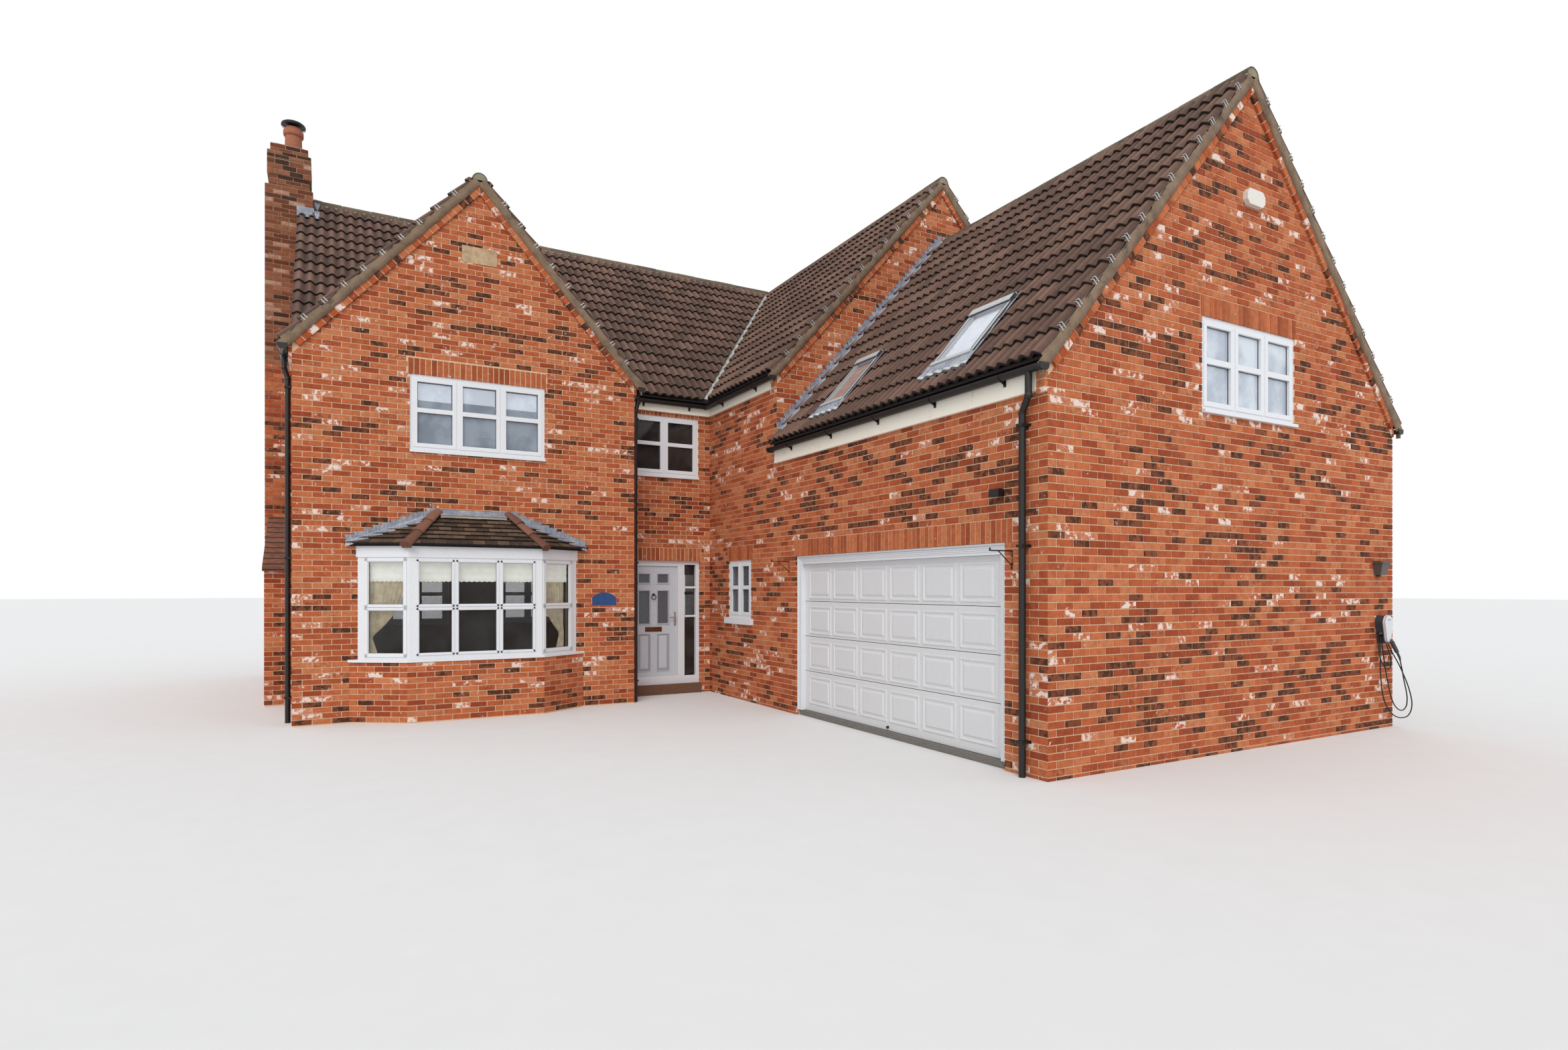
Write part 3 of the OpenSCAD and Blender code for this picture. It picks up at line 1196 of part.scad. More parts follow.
at_datum() ground_floors();
at_datum() upper_floors();
at_datum() left_wing_front_wall();
at_datum() left_side_wall();
at_datum() left_wing_return_wall();
at_datum() entrance_upper_wall();
at_datum() entrance_piers();
at_datum() wing_left_wall();
at_datum() tall_gable_wall();
at_datum() garage_front_wall();
at_datum() right_side_wall();
at_datum() back_wall();
at_datum() main_roof();
at_datum() left_wing_roof();
at_datum() tall_wing_roof();
at_datum() garage_roof();
at_datum() ridge_tiles();
at_datum() verge_bands();
at_datum() fascias();
at_datum() lead_flashings();
at_datum() gutters();
at_datum() downpipes();
at_datum() chimney_stack();
at_datum() chimney_pot();
at_datum() chimney_cowl();
at_datum() hearth_wall();
at_datum() hearth_tiles();
at_datum() bay_base();
at_datum() bay_window();
at_datum() bay_fascia();
at_datum() bay_roof();
at_datum() upper_windows();
at_datum() cloakroom_window();
at_datum() back_windows();
at_datum() window_glass();
at_datum() rooflights();
at_datum() front_door_frame();
at_datum() front_door();
at_datum() door_glass();
at_datum() door_fittings();
at_datum() garage_door();
at_datum() garage_door_frame();
at_datum() door_step();
at_datum() wall_tablets();
at_datum() alarm_box();
at_datum() wall_lantern();
at_datum() charge_point();
at_datum() charge_cable();
at_datum() security_light();
at_datum() basket_brackets();
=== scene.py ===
"""Looks of the detached house: bricks, tiles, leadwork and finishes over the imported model."""
from math import atan, ceil, cos, floor, hypot, pi, radians, sin, tan

import bpy
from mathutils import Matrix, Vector, noise


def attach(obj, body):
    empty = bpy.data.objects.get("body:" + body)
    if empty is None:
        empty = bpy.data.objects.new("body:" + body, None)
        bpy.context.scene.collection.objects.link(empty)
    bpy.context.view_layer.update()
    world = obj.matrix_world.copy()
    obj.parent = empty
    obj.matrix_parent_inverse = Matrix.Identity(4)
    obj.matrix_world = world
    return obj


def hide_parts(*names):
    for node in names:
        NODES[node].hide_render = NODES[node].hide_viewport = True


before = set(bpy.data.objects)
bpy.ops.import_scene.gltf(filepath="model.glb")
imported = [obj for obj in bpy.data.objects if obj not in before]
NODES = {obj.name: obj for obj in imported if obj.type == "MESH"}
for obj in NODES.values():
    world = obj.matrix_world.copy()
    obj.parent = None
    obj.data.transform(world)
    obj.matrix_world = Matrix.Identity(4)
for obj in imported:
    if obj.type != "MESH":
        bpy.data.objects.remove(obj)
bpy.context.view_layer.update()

# The drawing's own origin is the left wing's front corner; the part's point 0,0,0 lies here in it
DATUM = Vector((6.290, 4.450, 0.0))

# Sizes of the drawing, in metres
PLATE, GPLATE, DROP, GDROP = 5.050, 3.970, 0.225, 0.283
LW, WX, WR, RECESS, BACK = 4.632, 6.290, 12.640, 0.780, 8.120
GABLE_Y, GARAGE_Y, RIDGE_Y = -1.680, -6.950, 4.450
LRX, WRX, HALF = LW / 2, (WX + WR) / 2, (WR - WX) / 2
WING_P = radians(48.2)
MAIN_P = atan(HALF * tan(WING_P) / (RIDGE_Y - RECESS))
TW, TM = tan(WING_P), tan(MAIN_P)
CW, SW, CM = cos(WING_P), sin(WING_P), cos(MAIN_P)
ROOF_T, VERGE, EAVES, BAND_OUT = 0.090, 0.050, 0.120, 0.028
ZW, ZM = ROOF_T / CW, ROOF_T / CM
BED_R, BED_H = 0.105, 0.025
KNEEL_T, KNEEL = 0.102, 0.040
REVEAL, DOOR_REVEAL, GARAGE_REVEAL = 0.012, 0.050, 0.035
SILL_H, FRAME_W, SASH_W = 0.035, 0.062, 0.038

# Bed joints that the courses start from: left wing and chimney, then entrance and right wing
LEFT_BED, RIGHT_BED = 0.015, 0.035
# Tops of the soldier courses: ground floor, upper windows, garage window
LOW_HEAD, UPPER_HEAD, GARAGE_HEAD = 2.510, 5.025, 4.985
# Openings: the entrance along the front, and the garage door along the drive from the recess
DOOR_X0, DOOR_X1, DOOR_TOP = 4.750, 6.105, 2.289
GARAGE_U, GARAGE_W, GARAGE_TOP = 2.265, 4.134, 2.278
# Chimney stack against the left side, and the hearth wall round its foot
STACK_X0, STACK_X1, STACK_HALF, STACK_TOP = -0.52, 0.18, 0.45, 8.717
HEARTH_Y0, HEARTH_Y1, HEARTH_OUT, HEARTH_LOW, HEARTH_TOP = 2.40, 6.50, 0.44, 2.11, 2.98
# Rooflights: where each starts along the garage roof and its width, and where both start up the slope
ROOFLIGHTS = ((2.680, 0.550), (5.080, 0.660))
LIGHT_S = 0.190 / CW
GUTTER_TOP, GARAGE_GUTTER_TOP = 4.988, 3.908


def placed(name, data):
    """A new object in the scene that shows data."""
    obj = bpy.data.objects.new(name, data)
    bpy.context.scene.collection.objects.link(obj)
    return obj


# Camera and cord

# The photo's size in pixels, and the focal length, horizon, eye and turn that were fitted to it
PHOTO_W, PHOTO_H, SENSOR = 2341, 1568, 36
FOCAL, HORIZON, EYE, TURN = 1217.43, 877.98, (0.395, -12.408, 1.82), 29.277


def camera():
    """The photo's own camera."""
    data = bpy.data.cameras.new("camera")
    data.sensor_width = SENSOR
    data.lens = FOCAL / PHOTO_W * SENSOR
    data.shift_y = (HORIZON - PHOTO_H / 2) / PHOTO_W
    cam = placed("camera", data)
    cam.location = Vector(EYE) - DATUM
    cam.rotation_euler = (pi / 2, 0, radians(-TURN))
    bpy.context.scene.camera = cam


# The charging unit's foot, and the lead's middle line from it in millimetres
UNIT = Vector((WR - 0.345, GARAGE_Y, 0))
ROUTE = [
    (-50, -25, 1245), (-50, -25, 1210), (-55, -28, 1150), (-71, -37, 1067), (-93, -52, 982),
    (-102, -75, 896), (-83, -88, 841), (-48, -97, 800), (-13, -103, 781), (21, -106, 776), (55, -106, 786),
    (86, -103, 810), (117, -94, 860), (128, -81, 928), (114, -64, 1015), (90, -48, 1100),
    (69, -42, 1187), (50, -42, 1210), (23, -43, 1221), (-7, -43, 1218), (-31, -44, 1200),
    (-45, -45, 1174), (-52, -46, 1130), (-56, -47, 1040), (-60, -49, 950), (-65, -52, 860),
    (-70, -56, 770), (-76, -63, 681), (-79, -71, 591), (-80, -81, 502), (-73, -93, 413),
    (-53, -109, 327), (-15, -130, 248), (45, -156, 187), (113, -183, 155), (187, -213, 155),
    (229, -230, 174), (262, -241, 209), (289, -249, 273), (295, -249, 357), (280, -241, 446),
    (260, -229, 533), (234, -214, 617), (207, -195, 701), (181, -174, 785), (154, -149, 867),
    (128, -120, 949), (104, -92, 1030), (86, -68, 1115), (76, -62, 1169), (64, -61, 1196),
    (41, -61, 1216), (12, -62, 1222), (-16, -62, 1213), (-38, -62, 1193), (-47, -62, 1162),
    (-41, -62, 1112), (-24, -62, 1024), (-2, -62, 936), (18, -64, 849), (32, -69, 760), (40, -79, 671),
    (43, -93, 582), (45, -109, 493), (52, -126, 405), (73, -148, 321), (104, -167, 273),
    (126, -177, 256), (152, -188, 246), (180, -198, 249), (205, -206, 263), (227, -212, 289),
    (243, -216, 331), (247, -217, 405), (233, -213, 494), (211, -206, 581), (188, -201, 668),
    (165, -199, 755), (143, -193, 842), (125, -185, 930)]


def smooth_path(points, parts=4):
    """Points of a curve through the given ones."""
    p = [Vector(points[0]) * 2 - Vector(points[1])] + [Vector(q) for q in points]
    p.append(p[-1] * 2 - p[-2])
    out = []
    for i in range(1, len(p) - 2):
        for k in range(parts):
            t = k / parts
            out.append(0.5 * (2 * p[i] + (p[i + 1] - p[i - 1]) * t
                + (2 * p[i - 1] - 5 * p[i] + 4 * p[i + 1] - p[i + 2]) * t * t
                + (3 * p[i] - p[i - 1] - 3 * p[i + 1] + p[i + 2]) * t ** 3))
    return out + [p[-2]]


# Materials

class Finish:
    """A node material: a Principled shader and short names for the nodes that feed it."""

    def __init__(self, name, rough=0.8, metallic=0.0, **sockets):
        self.mat = bpy.data.materials.new(name)
        self.mat.use_nodes = True
        self.n, self.l = self.mat.node_tree.nodes, self.mat.node_tree.links
        self.shader = self.n["Principled BSDF"]
        self.shader.inputs["Roughness"].default_value = rough
        self.shader.inputs["Metallic"].default_value = metallic
        for key, value in sockets.items():
            self.shader.inputs[key.replace("_", " ")].default_value = value
        self.where = None

    def node(self, kind, **inputs):
        """A node with inputs by name, or by number as i0 and i1; each is a socket or a value."""
        node = self.n.new(kind)
        for key, value in inputs.items():
            socket = node.inputs[int(key[1:])] if key[0] == "i" and key[1:].isdigit() else node.inputs[key]
            if isinstance(value, bpy.types.NodeSocket):
                self.l.new(value, socket)
            else:
                socket.default_value = value
        return node

    def place(self, stretch=None):
        """Object coordinates in metres, stretched where asked."""
        if self.where is None:
            self.where = self.node("ShaderNodeTexCoord").outputs["Object"]
        if stretch is None:
            return self.where
        return self.node("ShaderNodeMapping", Vector=self.where, Scale=stretch).outputs[0]

    def axis(self, name):
        return self.node("ShaderNodeSeparateXYZ", Vector=self.place()).outputs[name]

    def noise(self, scale, detail=3.0, rough=0.6, stretch=None):
        return self.node("ShaderNodeTexNoise", Vector=self.place(stretch), Scale=scale, Detail=detail,
            Roughness=rough).outputs["Fac"]

    def tone(self):
        node = self.n.new("ShaderNodeAttribute")
        node.attribute_name = "tone"
        return node.outputs["Fac"]

    def ramp(self, fac, *stops):
        """A colour ramp through stops (position, colour or grey level)."""
        node = self.node("ShaderNodeValToRGB", Fac=fac)
        marks = node.color_ramp.elements
        while len(marks) < len(stops):
            marks.new(1.0)
        for mark, (at, colour) in zip(marks, stops):
            mark.position = at
            mark.color = rgb(colour) if hasattr(colour, "__len__") else (colour, colour, colour, 1)
        return node.outputs["Color"]

    def mix(self, fac, a, b):
        """From a to b by fac; each is a socket, a colour or a number."""
        node = self.n.new("ShaderNodeMix")
        node.data_type = "RGBA"
        for socket, value in ((node.inputs[0], fac), (node.inputs[6], a), (node.inputs[7], b)):
            if isinstance(value, bpy.types.NodeSocket):
                self.l.new(value, socket)
            else:
                socket.default_value = rgb(value) if hasattr(value, "__len__") else value
        return node.outputs[2]

    def maths(self, kind, a, b=0.0):
        node = self.node("ShaderNodeMath", i0=a, i1=b)
        node.operation = kind
        return node.outputs[0]

    def times(self, a, b):
        return self.maths("MULTIPLY", a, b)

    def shifted(self, base, wobble, amount):
        """base with a noise about 0.5 added by amount."""
        return self.maths("ADD", base, self.times(self.maths("SUBTRACT", wobble, 0.5), amount))

    def colour(self, value):
        socket = self.shader.inputs["Base Color"]
        if isinstance(value, bpy.types.NodeSocket):
            self.l.new(value, socket)
        else:
            socket.default_value = rgb(value)
        return self

    def roughness(self, value):
        self.l.new(value, self.shader.inputs["Roughness"])
        return self

    def bump(self, height, strength=0.4, distance=0.003):
        node = self.node("ShaderNodeBump", Height=height, Strength=strength, Distance=distance)
        self.l.new(node.outputs[0], self.shader.inputs["Normal"])
        return self


def rgb(c):
    """A colour given as 0 to 255 screen values, made linear."""
    out = [((x / 255 + 0.055) / 1.055) ** 2.4 if x > 10 else x / 255 / 12.92 for x in c[:3]]
    return (*out, 1.0)


def brick_finish(name, stops, dark=(62, 40, 30), wash=(232, 216, 206)):
    """Below a tone of 0.13 a brick is burnt dark in patches, and above 0.9 it has a broken white wash."""
    m = Finish(name, rough=0.92, Specular_IOR_Level=0.25)
    fine, blotch, patch = m.noise(95, 4, 0.7), m.noise(24, 4, 0.65), m.noise(13, 4, 0.6)
    tone = m.tone()
    body = m.ramp(m.shifted(tone, blotch, 0.22), *stops)
    burnt = m.times(m.ramp(tone, (0.125, 1.0), (0.135, 0.20)), m.ramp(patch, (0.47, 0.0), (0.55, 0.9)))
    body = m.mix(burnt, body, dark)
    body = m.mix(m.ramp(fine, (0.44, 0.0), (0.64, 0.45)), body, m.mix(0.5, body, (96, 42, 24)))
    white = m.times(m.ramp(tone, (0.90, 0.0), (0.905, 1.0)), m.ramp(m.noise(13, 4, 0.62), (0.50, 0.0), (0.54, 0.85)))
    stray = m.ramp(m.noise(10, 5, 0.75), (0.64, 0.0), (0.68, 0.7))
    body = m.mix(m.maths("MAXIMUM", white, stray), body, wash)
    m.colour(body).bump(m.mix(0.6, fine, blotch), 0.6, 0.004)
    return m.mat


WARM = ((0.00, (112, 60, 38)), (0.12, (136, 74, 46)), (0.17, (148, 64, 36)), (0.32, (172, 84, 48)),
    (0.50, (188, 99, 60)), (0.66, (194, 112, 70)), (0.80, (200, 126, 84)), (0.87, (158, 72, 42)),
    (0.93, (188, 102, 66)), (1.00, (200, 132, 98)))
BRICK = brick_finish("brick", WARM)
SOLDIER = brick_finish("soldier_brick", ((0.14, (150, 74, 44)), (0.4, (176, 92, 54)), (0.8, (196, 116, 74))))
STACK = brick_finish("stack_brick", ((0.00, (66, 46, 36)), (0.12, (74, 50, 38)), (0.18, (100, 54, 36)),
    (0.5, (134, 80, 54)), (0.85, (156, 102, 74)), (1.0, (176, 132, 108))), wash=(176, 150, 132))


def mortar_finish(name, pale, dark, mottled=0.6):
    """Sandy mortar, pale with darker stains as strong as mottled."""
    m = Finish(name, rough=0.95)
    fine, broad = m.noise(120, 4, 0.7), m.noise(6, 4)
    m.colour(m.mix(m.ramp(fine, (0.35, 0.0), (0.65, 1.0)), m.mix(m.ramp(broad, (0.4, 0.0), (0.65, mottled)), pale,
        dark), pale)).bump(fine, 0.5, 0.002)
    return m.mat


MORTAR = mortar_finish("mortar", (220, 184, 152), (196, 158, 126))
STACK_MORTAR = mortar_finish("stack_mortar", (164, 138, 116), (128, 106, 88))
VERGE_MORTAR = mortar_finish("verge_mortar", (136, 114, 93), (80, 66, 54), 1.0)
TOP_MORTAR = mortar_finish("bedding_mortar", (150, 140, 120), (104, 98, 80), 0.9)
PALE_MORTAR = mortar_finish("flashing_mortar", (188, 180, 164), (150, 138, 118), 0.8)


def tile_finish(name, stops, moss, lichen=(138, 134, 110)):
    """Stops give the colour over a tile's tone, and moss is the share of lichen in the spots."""
    m = Finish(name, rough=0.86)
    fine, blotch, spots = m.noise(110, 4, 0.7), m.noise(7, 4), m.noise(30, 5, 0.75)
    body = m.ramp(m.shifted(m.tone(), blotch, 0.5), *stops)
    body = m.mix(m.ramp(fine, (0.38, 0.0), (0.66, 0.5)), body, m.mix(0.5, body, (34, 27, 24)))
    body = m.mix(m.ramp(spots, (0.58, 0.0), (0.68, moss)), body, lichen)
    m.colour(body).bump(m.mix(0.5, fine, spots), 0.5, 0.003)
    return m.mat


def striped_finish():
    """Brown tiles in courses of 90 mm up the wall, with a dark line of painted shade under each."""
    m = Finish("side_tile", rough=0.88)
    fine, blotch = m.noise(90, 4, 0.7), m.noise(9, 4)
    body = m.mix(m.ramp(blotch, (0.35, 0.0), (0.68, 1.0)), (134, 86, 66), (96, 62, 48))
    step = m.maths("FRACT", m.times(m.axis("Z"), 11.0))
    # Near black at the foot of each course: painted shade
    body = m.mix(m.ramp(step, (0.0, 1.0), (0.16, 0.9), (0.24, 0.0)), body, (34, 24, 20))
    m.colour(body).bump(m.mix(0.3, step, fine), 0.7, 0.012)
    return m.mat


TILE = tile_finish("roof_tile", ((0.0, (56, 38, 30)), (0.5, (94, 67, 55)), (1.0, (130, 98, 83))), 0.22,
    (158, 148, 130))
# Near black: painted shade in the gaps under the tile lips
TILE_GAP_SHADE = tile_finish("tile_edge", ((0.0, (16, 10, 8)), (1.0, (32, 22, 18))), 0.05)
RIDGE = tile_finish("ridge_tile", ((0.0, (76, 66, 54)), (0.5, (100, 86, 70)), (1.0, (122, 106, 88))), 0.6)
PLAIN_TILE = tile_finish("plain_tile", ((0.0, (50, 34, 26)), (0.5, (76, 56, 43)), (1.0, (110, 86, 66))), 0.85,
    (126, 120, 70))
SIDE_TILE = striped_finish()
HIP_TILE = tile_finish("hip_tile", ((0.0, (104, 66, 50)), (1.0, (140, 94, 74))), 0.25)


def plate_finish(name, side):
    """The roof plates: verge mortar on the ends that face along side, and near black on the other faces, painted shade
    under the tiles at the eaves.
    """
    m = Finish(name, rough=0.95)
    fine, broad = m.noise(120, 4, 0.7), m.noise(6, 4)
    normal = m.node("ShaderNodeSeparateXYZ", Vector=m.n.new("ShaderNodeNewGeometry").outputs["Normal"]).outputs[side]
    end = m.maths("GREATER_THAN", m.maths("ABSOLUTE", normal), 0.9)
    bed = m.mix(m.ramp(broad, (0.4, 0.0), (0.65, 1.0)), (136, 114, 93), (80, 66, 54))
    # Near black wherever it is no verge end: painted shade under the tile lips
    m.colour(m.mix(end, (24, 17, 14), bed)).bump(fine, 0.5, 0.002)
    return m.mat


WING_PLATE, MAIN_PLATE = plate_finish("wing_plate", "Y"), plate_finish("main_plate", "X")


def plain_finish(name, colour, rough, grain, scale=60.0, metallic=0.0, dirt=None, dirt_at=(0.62, 0.8)):
    """An even paint, plastic or metal with a faint grain and, where given, patches of dirt."""
    m = Finish(name, rough=rough, metallic=metallic)
    fine = m.noise(scale, 3)
    darker = tuple(x * (1 - 2.5 * grain) for x in colour)
    body = m.mix(m.ramp(fine, (0.3, 0.0), (0.75, 1.0)), colour, darker)
    if dirt:
        body = m.mix(m.ramp(m.noise(6.5, 5, 0.7), (dirt_at[0], 0.0), (dirt_at[1], 0.55)), body, dirt)
    m.colour(body).roughness(m.ramp(fine, (0.2, max(0.0, rough - 0.06)), (0.8, min(1.0, rough + 0.08))))
    m.bump(fine, 0.12, 0.001)
    return m.mat


WHITE = plain_finish("white_plastic", (226, 228, 232), 0.34, 0.015, dirt=(196, 198, 196))
FASCIA = plain_finish("fascia_board", (246, 241, 226), 0.45, 0.015, dirt=(170, 164, 140), dirt_at=(0.62, 0.78))
BLACK = plain_finish("black_plastic", (21, 19, 19), 0.45, 0.1, dirt=(54, 50, 45))
GASKET = plain_finish("gasket", (38, 40, 44), 0.6, 0.06)
CLAY = plain_finish("clay", (176, 108, 80), 0.85, 0.08, 40, dirt=(92, 74, 62))
DARK_METAL = plain_finish("dark_metal", (44, 46, 48), 0.5, 0.08, dirt=(86, 70, 58))
LANTERN = plain_finish("lantern_metal", (96, 92, 88), 0.45, 0.06, metallic=0.3)
DOOR_PAINT = plain_finish("door_paint", (202, 207, 215), 0.42, 0.02, dirt=(160, 160, 160))
# Darker than the door paint: painted shade in the panel grooves
DOOR_GROOVE_SHADE = plain_finish("door_line", (156, 160, 169), 0.5, 0.02)
GARAGE_PAINT = plain_finish("garage_paint", (217, 218, 220), 0.42, 0.02, 90, dirt=(196, 196, 192))
STEP = plain_finish("step_stone", (118, 82, 60), 0.8, 0.1, 45, dirt=(90, 80, 62))
CONCRETE = plain_finish("concrete", (120, 116, 110), 0.9, 0.06, 30)
TIMBER = plain_finish("timber", (130, 108, 84), 0.8, 0.06, 20)
BOX_PLASTIC = plain_finish("box_plastic", (226, 222, 214), 0.4, 0.02, dirt=(170, 164, 150))
SILVER = plain_finish("rooflight_metal", (190, 192, 194), 0.4, 0.03, metallic=0.25, dirt=(120, 116, 108),
    dirt_at=(0.58, 0.72))
CLIP = plain_finish("clip_metal", (196, 198, 200), 0.35, 0.04, metallic=0.6)
SLATE = plain_finish("slate_plastic", (58, 62, 68), 0.4, 0.05)
PEARL = plain_finish("pearl_plastic", (214, 216, 220), 0.3, 0.02)
RUBBER = plain_finish("cable_rubber", (24, 24, 26), 0.55, 0.1)
LINING = plain_finish("valley_lining", (196, 196, 190), 0.6, 0.04, 30, dirt=(128, 126, 104), dirt_at=(0.56, 0.74))
SLAT = plain_finish("blind_slat", (206, 210, 216), 0.5, 0.03)


def tablet_finish():
    """Buff stone high in the gable, and blue enamel on the plate beside the bay."""
    m = Finish("tablets", rough=0.7)
    fine, broad = m.noise(60, 4, 0.7), m.noise(14, 4)
    stone = m.mix(m.ramp(broad, (0.4, 0.0), (0.65, 0.7)), (190, 162, 126), (150, 122, 92))
    blue = m.mix(m.ramp(broad, (0.4, 0.0), (0.7, 0.6)), (34, 70, 122), (26, 52, 94))
    m.colour(m.mix(m.maths("GREATER_THAN", m.axis("X"), -3.0), stone, blue)).bump(fine, 0.3, 0.002)
    return m.mat


def fittings_finish():
    """Chrome lever, a bronze letter plate below it and a dark knocker above."""
    m = Finish("door_metal", rough=0.25, metallic=0.9)
    fine, z = m.noise(50, 3), m.axis("Z")
    chrome = m.mix(fine, (206, 206, 208), (176, 176, 180))
    low = m.mix(m.maths("LESS_THAN", z, 1.16), chrome, (112, 78, 52))
    m.colour(m.mix(m.maths("GREATER_THAN", z, 1.6), low, (70, 66, 64))).bump(fine, 0.1, 0.001)
    return m.mat


def lead_finish():
    """Grey lead, streaked up and down, with pale bloom."""
    m = Finish("lead", rough=0.6, metallic=0.2)
    streak, broad = m.noise(26, 4, 0.6, stretch=(3.0, 3.0, 0.5)), m.noise(7, 4)
    body = m.ramp(streak, (0.3, (104, 110, 124)), (0.5, (134, 140, 154)), (0.7, (176, 180, 190)))
    body = m.mix(m.ramp(broad, (0.5, 0.0), (0.72, 0.6)), body, (196, 196, 198))
    m.colour(body).bump(m.mix(0.5, streak, broad), 0.5, 0.004)
    return m.mat


def glass_finish(name, colour, far, alpha, metallic, scale=1.2):
    """Thin glass that varies from colour to far, with faint waves in it."""
    m = Finish(name, rough=0.04, metallic=metallic, Alpha=alpha, IOR=1.5)
    waves = m.noise(scale, 4)
    m.colour(m.mix(m.ramp(waves, (0.42, 0.0), (0.58, 1.0)), colour, far)).bump(waves, 0.03, 0.01)
    return m.mat


def cloth_finish(name, colour, fold, glow=0.0):
    """Thin cloth; glow stands for the daylight that comes through it from the room."""
    m = Finish(name, rough=0.9, Emission_Color=rgb(colour), Emission_Strength=glow)
    weave = m.noise(420.0, 2)
    m.colour(m.mix(m.ramp(m.noise(9, 3), (0.35, 0.0), (0.7, 1.0)), colour, fold)).bump(weave, 0.4, 0.001)
    return m.mat


LEAD = lead_finish()
TABLETS = tablet_finish()
FITTINGS = fittings_finish()
CLEAR = glass_finish("clear_glass", (120, 128, 136), (90, 96, 104), 0.22, 0.0)
# Dark and half opaque: painted shade of the dim room behind the entrance glass
ROOM_SHADE_GLASS = glass_finish("dim_glass", (46, 42, 42), (66, 62, 60), 0.62, 0.0, 3.0)
MILKY = glass_finish("milky_glass", (184, 196, 210), (154, 166, 180), 0.42, 0.0, 2.0)
# Faint dark tint: painted shade of the dim room behind the bay
BAY_GLASS = glass_finish("bay_glass", (74, 70, 68), (96, 96, 98), 0.14, 0.0, 2.2)
ROOF_GLASS = glass_finish("roof_glass", (200, 208, 216), (186, 194, 204), 0.12, 0.0, 3.0)
# Pale blue-white and nearly opaque: a painted reflection of the sky on the garage window
SKY_REFLECTION_GLASS = glass_finish("sky_glass", (217, 226, 235), (182, 192, 205), 0.92, 0.25, 1.6)
FROSTED = glass_finish("frosted_glass", (112, 118, 124), (84, 90, 98), 0.94, 0.1, 60.0)
CREAM = cloth_finish("cream_cloth", (234, 236, 228), (218, 220, 208), glow=0.38)
CURTAIN = cloth_finish("curtain_cloth", (212, 202, 176), (164, 152, 124), glow=0.16)
WHITE_CLOTH = cloth_finish("white_cloth", (232, 234, 240), (216, 220, 230), glow=0.05)
PALE_CLOTH = cloth_finish("pale_cloth", (238, 240, 244), (224, 228, 236), glow=0.75)
BROWN_CLOTH = cloth_finish("brown_cloth", (176, 128, 104), (150, 106, 86))


# Building of meshes, in the drawing's own frame

def centre(poly):
    """Mean of the corners of a flat polygon."""
    return sum(p[0] for p in poly) / len(poly), sum(p[1] for p in poly) / len(poly)


def oval(u, v, ru, rv, n):
    """An outline of n points about (u, v), ru wide and rv high from its middle."""
    return [(u + ru * cos(2 * pi * k / n), v + rv * sin(2 * pi * k / n)) for k in range(n)]


def prism(n):
    """Faces over n points at the back and n at the front: the front, then the sides."""
    return [tuple(range(n, 2 * n))] + [(i, (i + 1) % n, n + (i + 1) % n, n + i) for i in range(n)]


BOX_FACES = [(0, 2, 3, 1), (4, 5, 7, 6), (0, 1, 5, 4), (2, 6, 7, 3), (0, 4, 6, 2), (1, 3, 7, 5)]


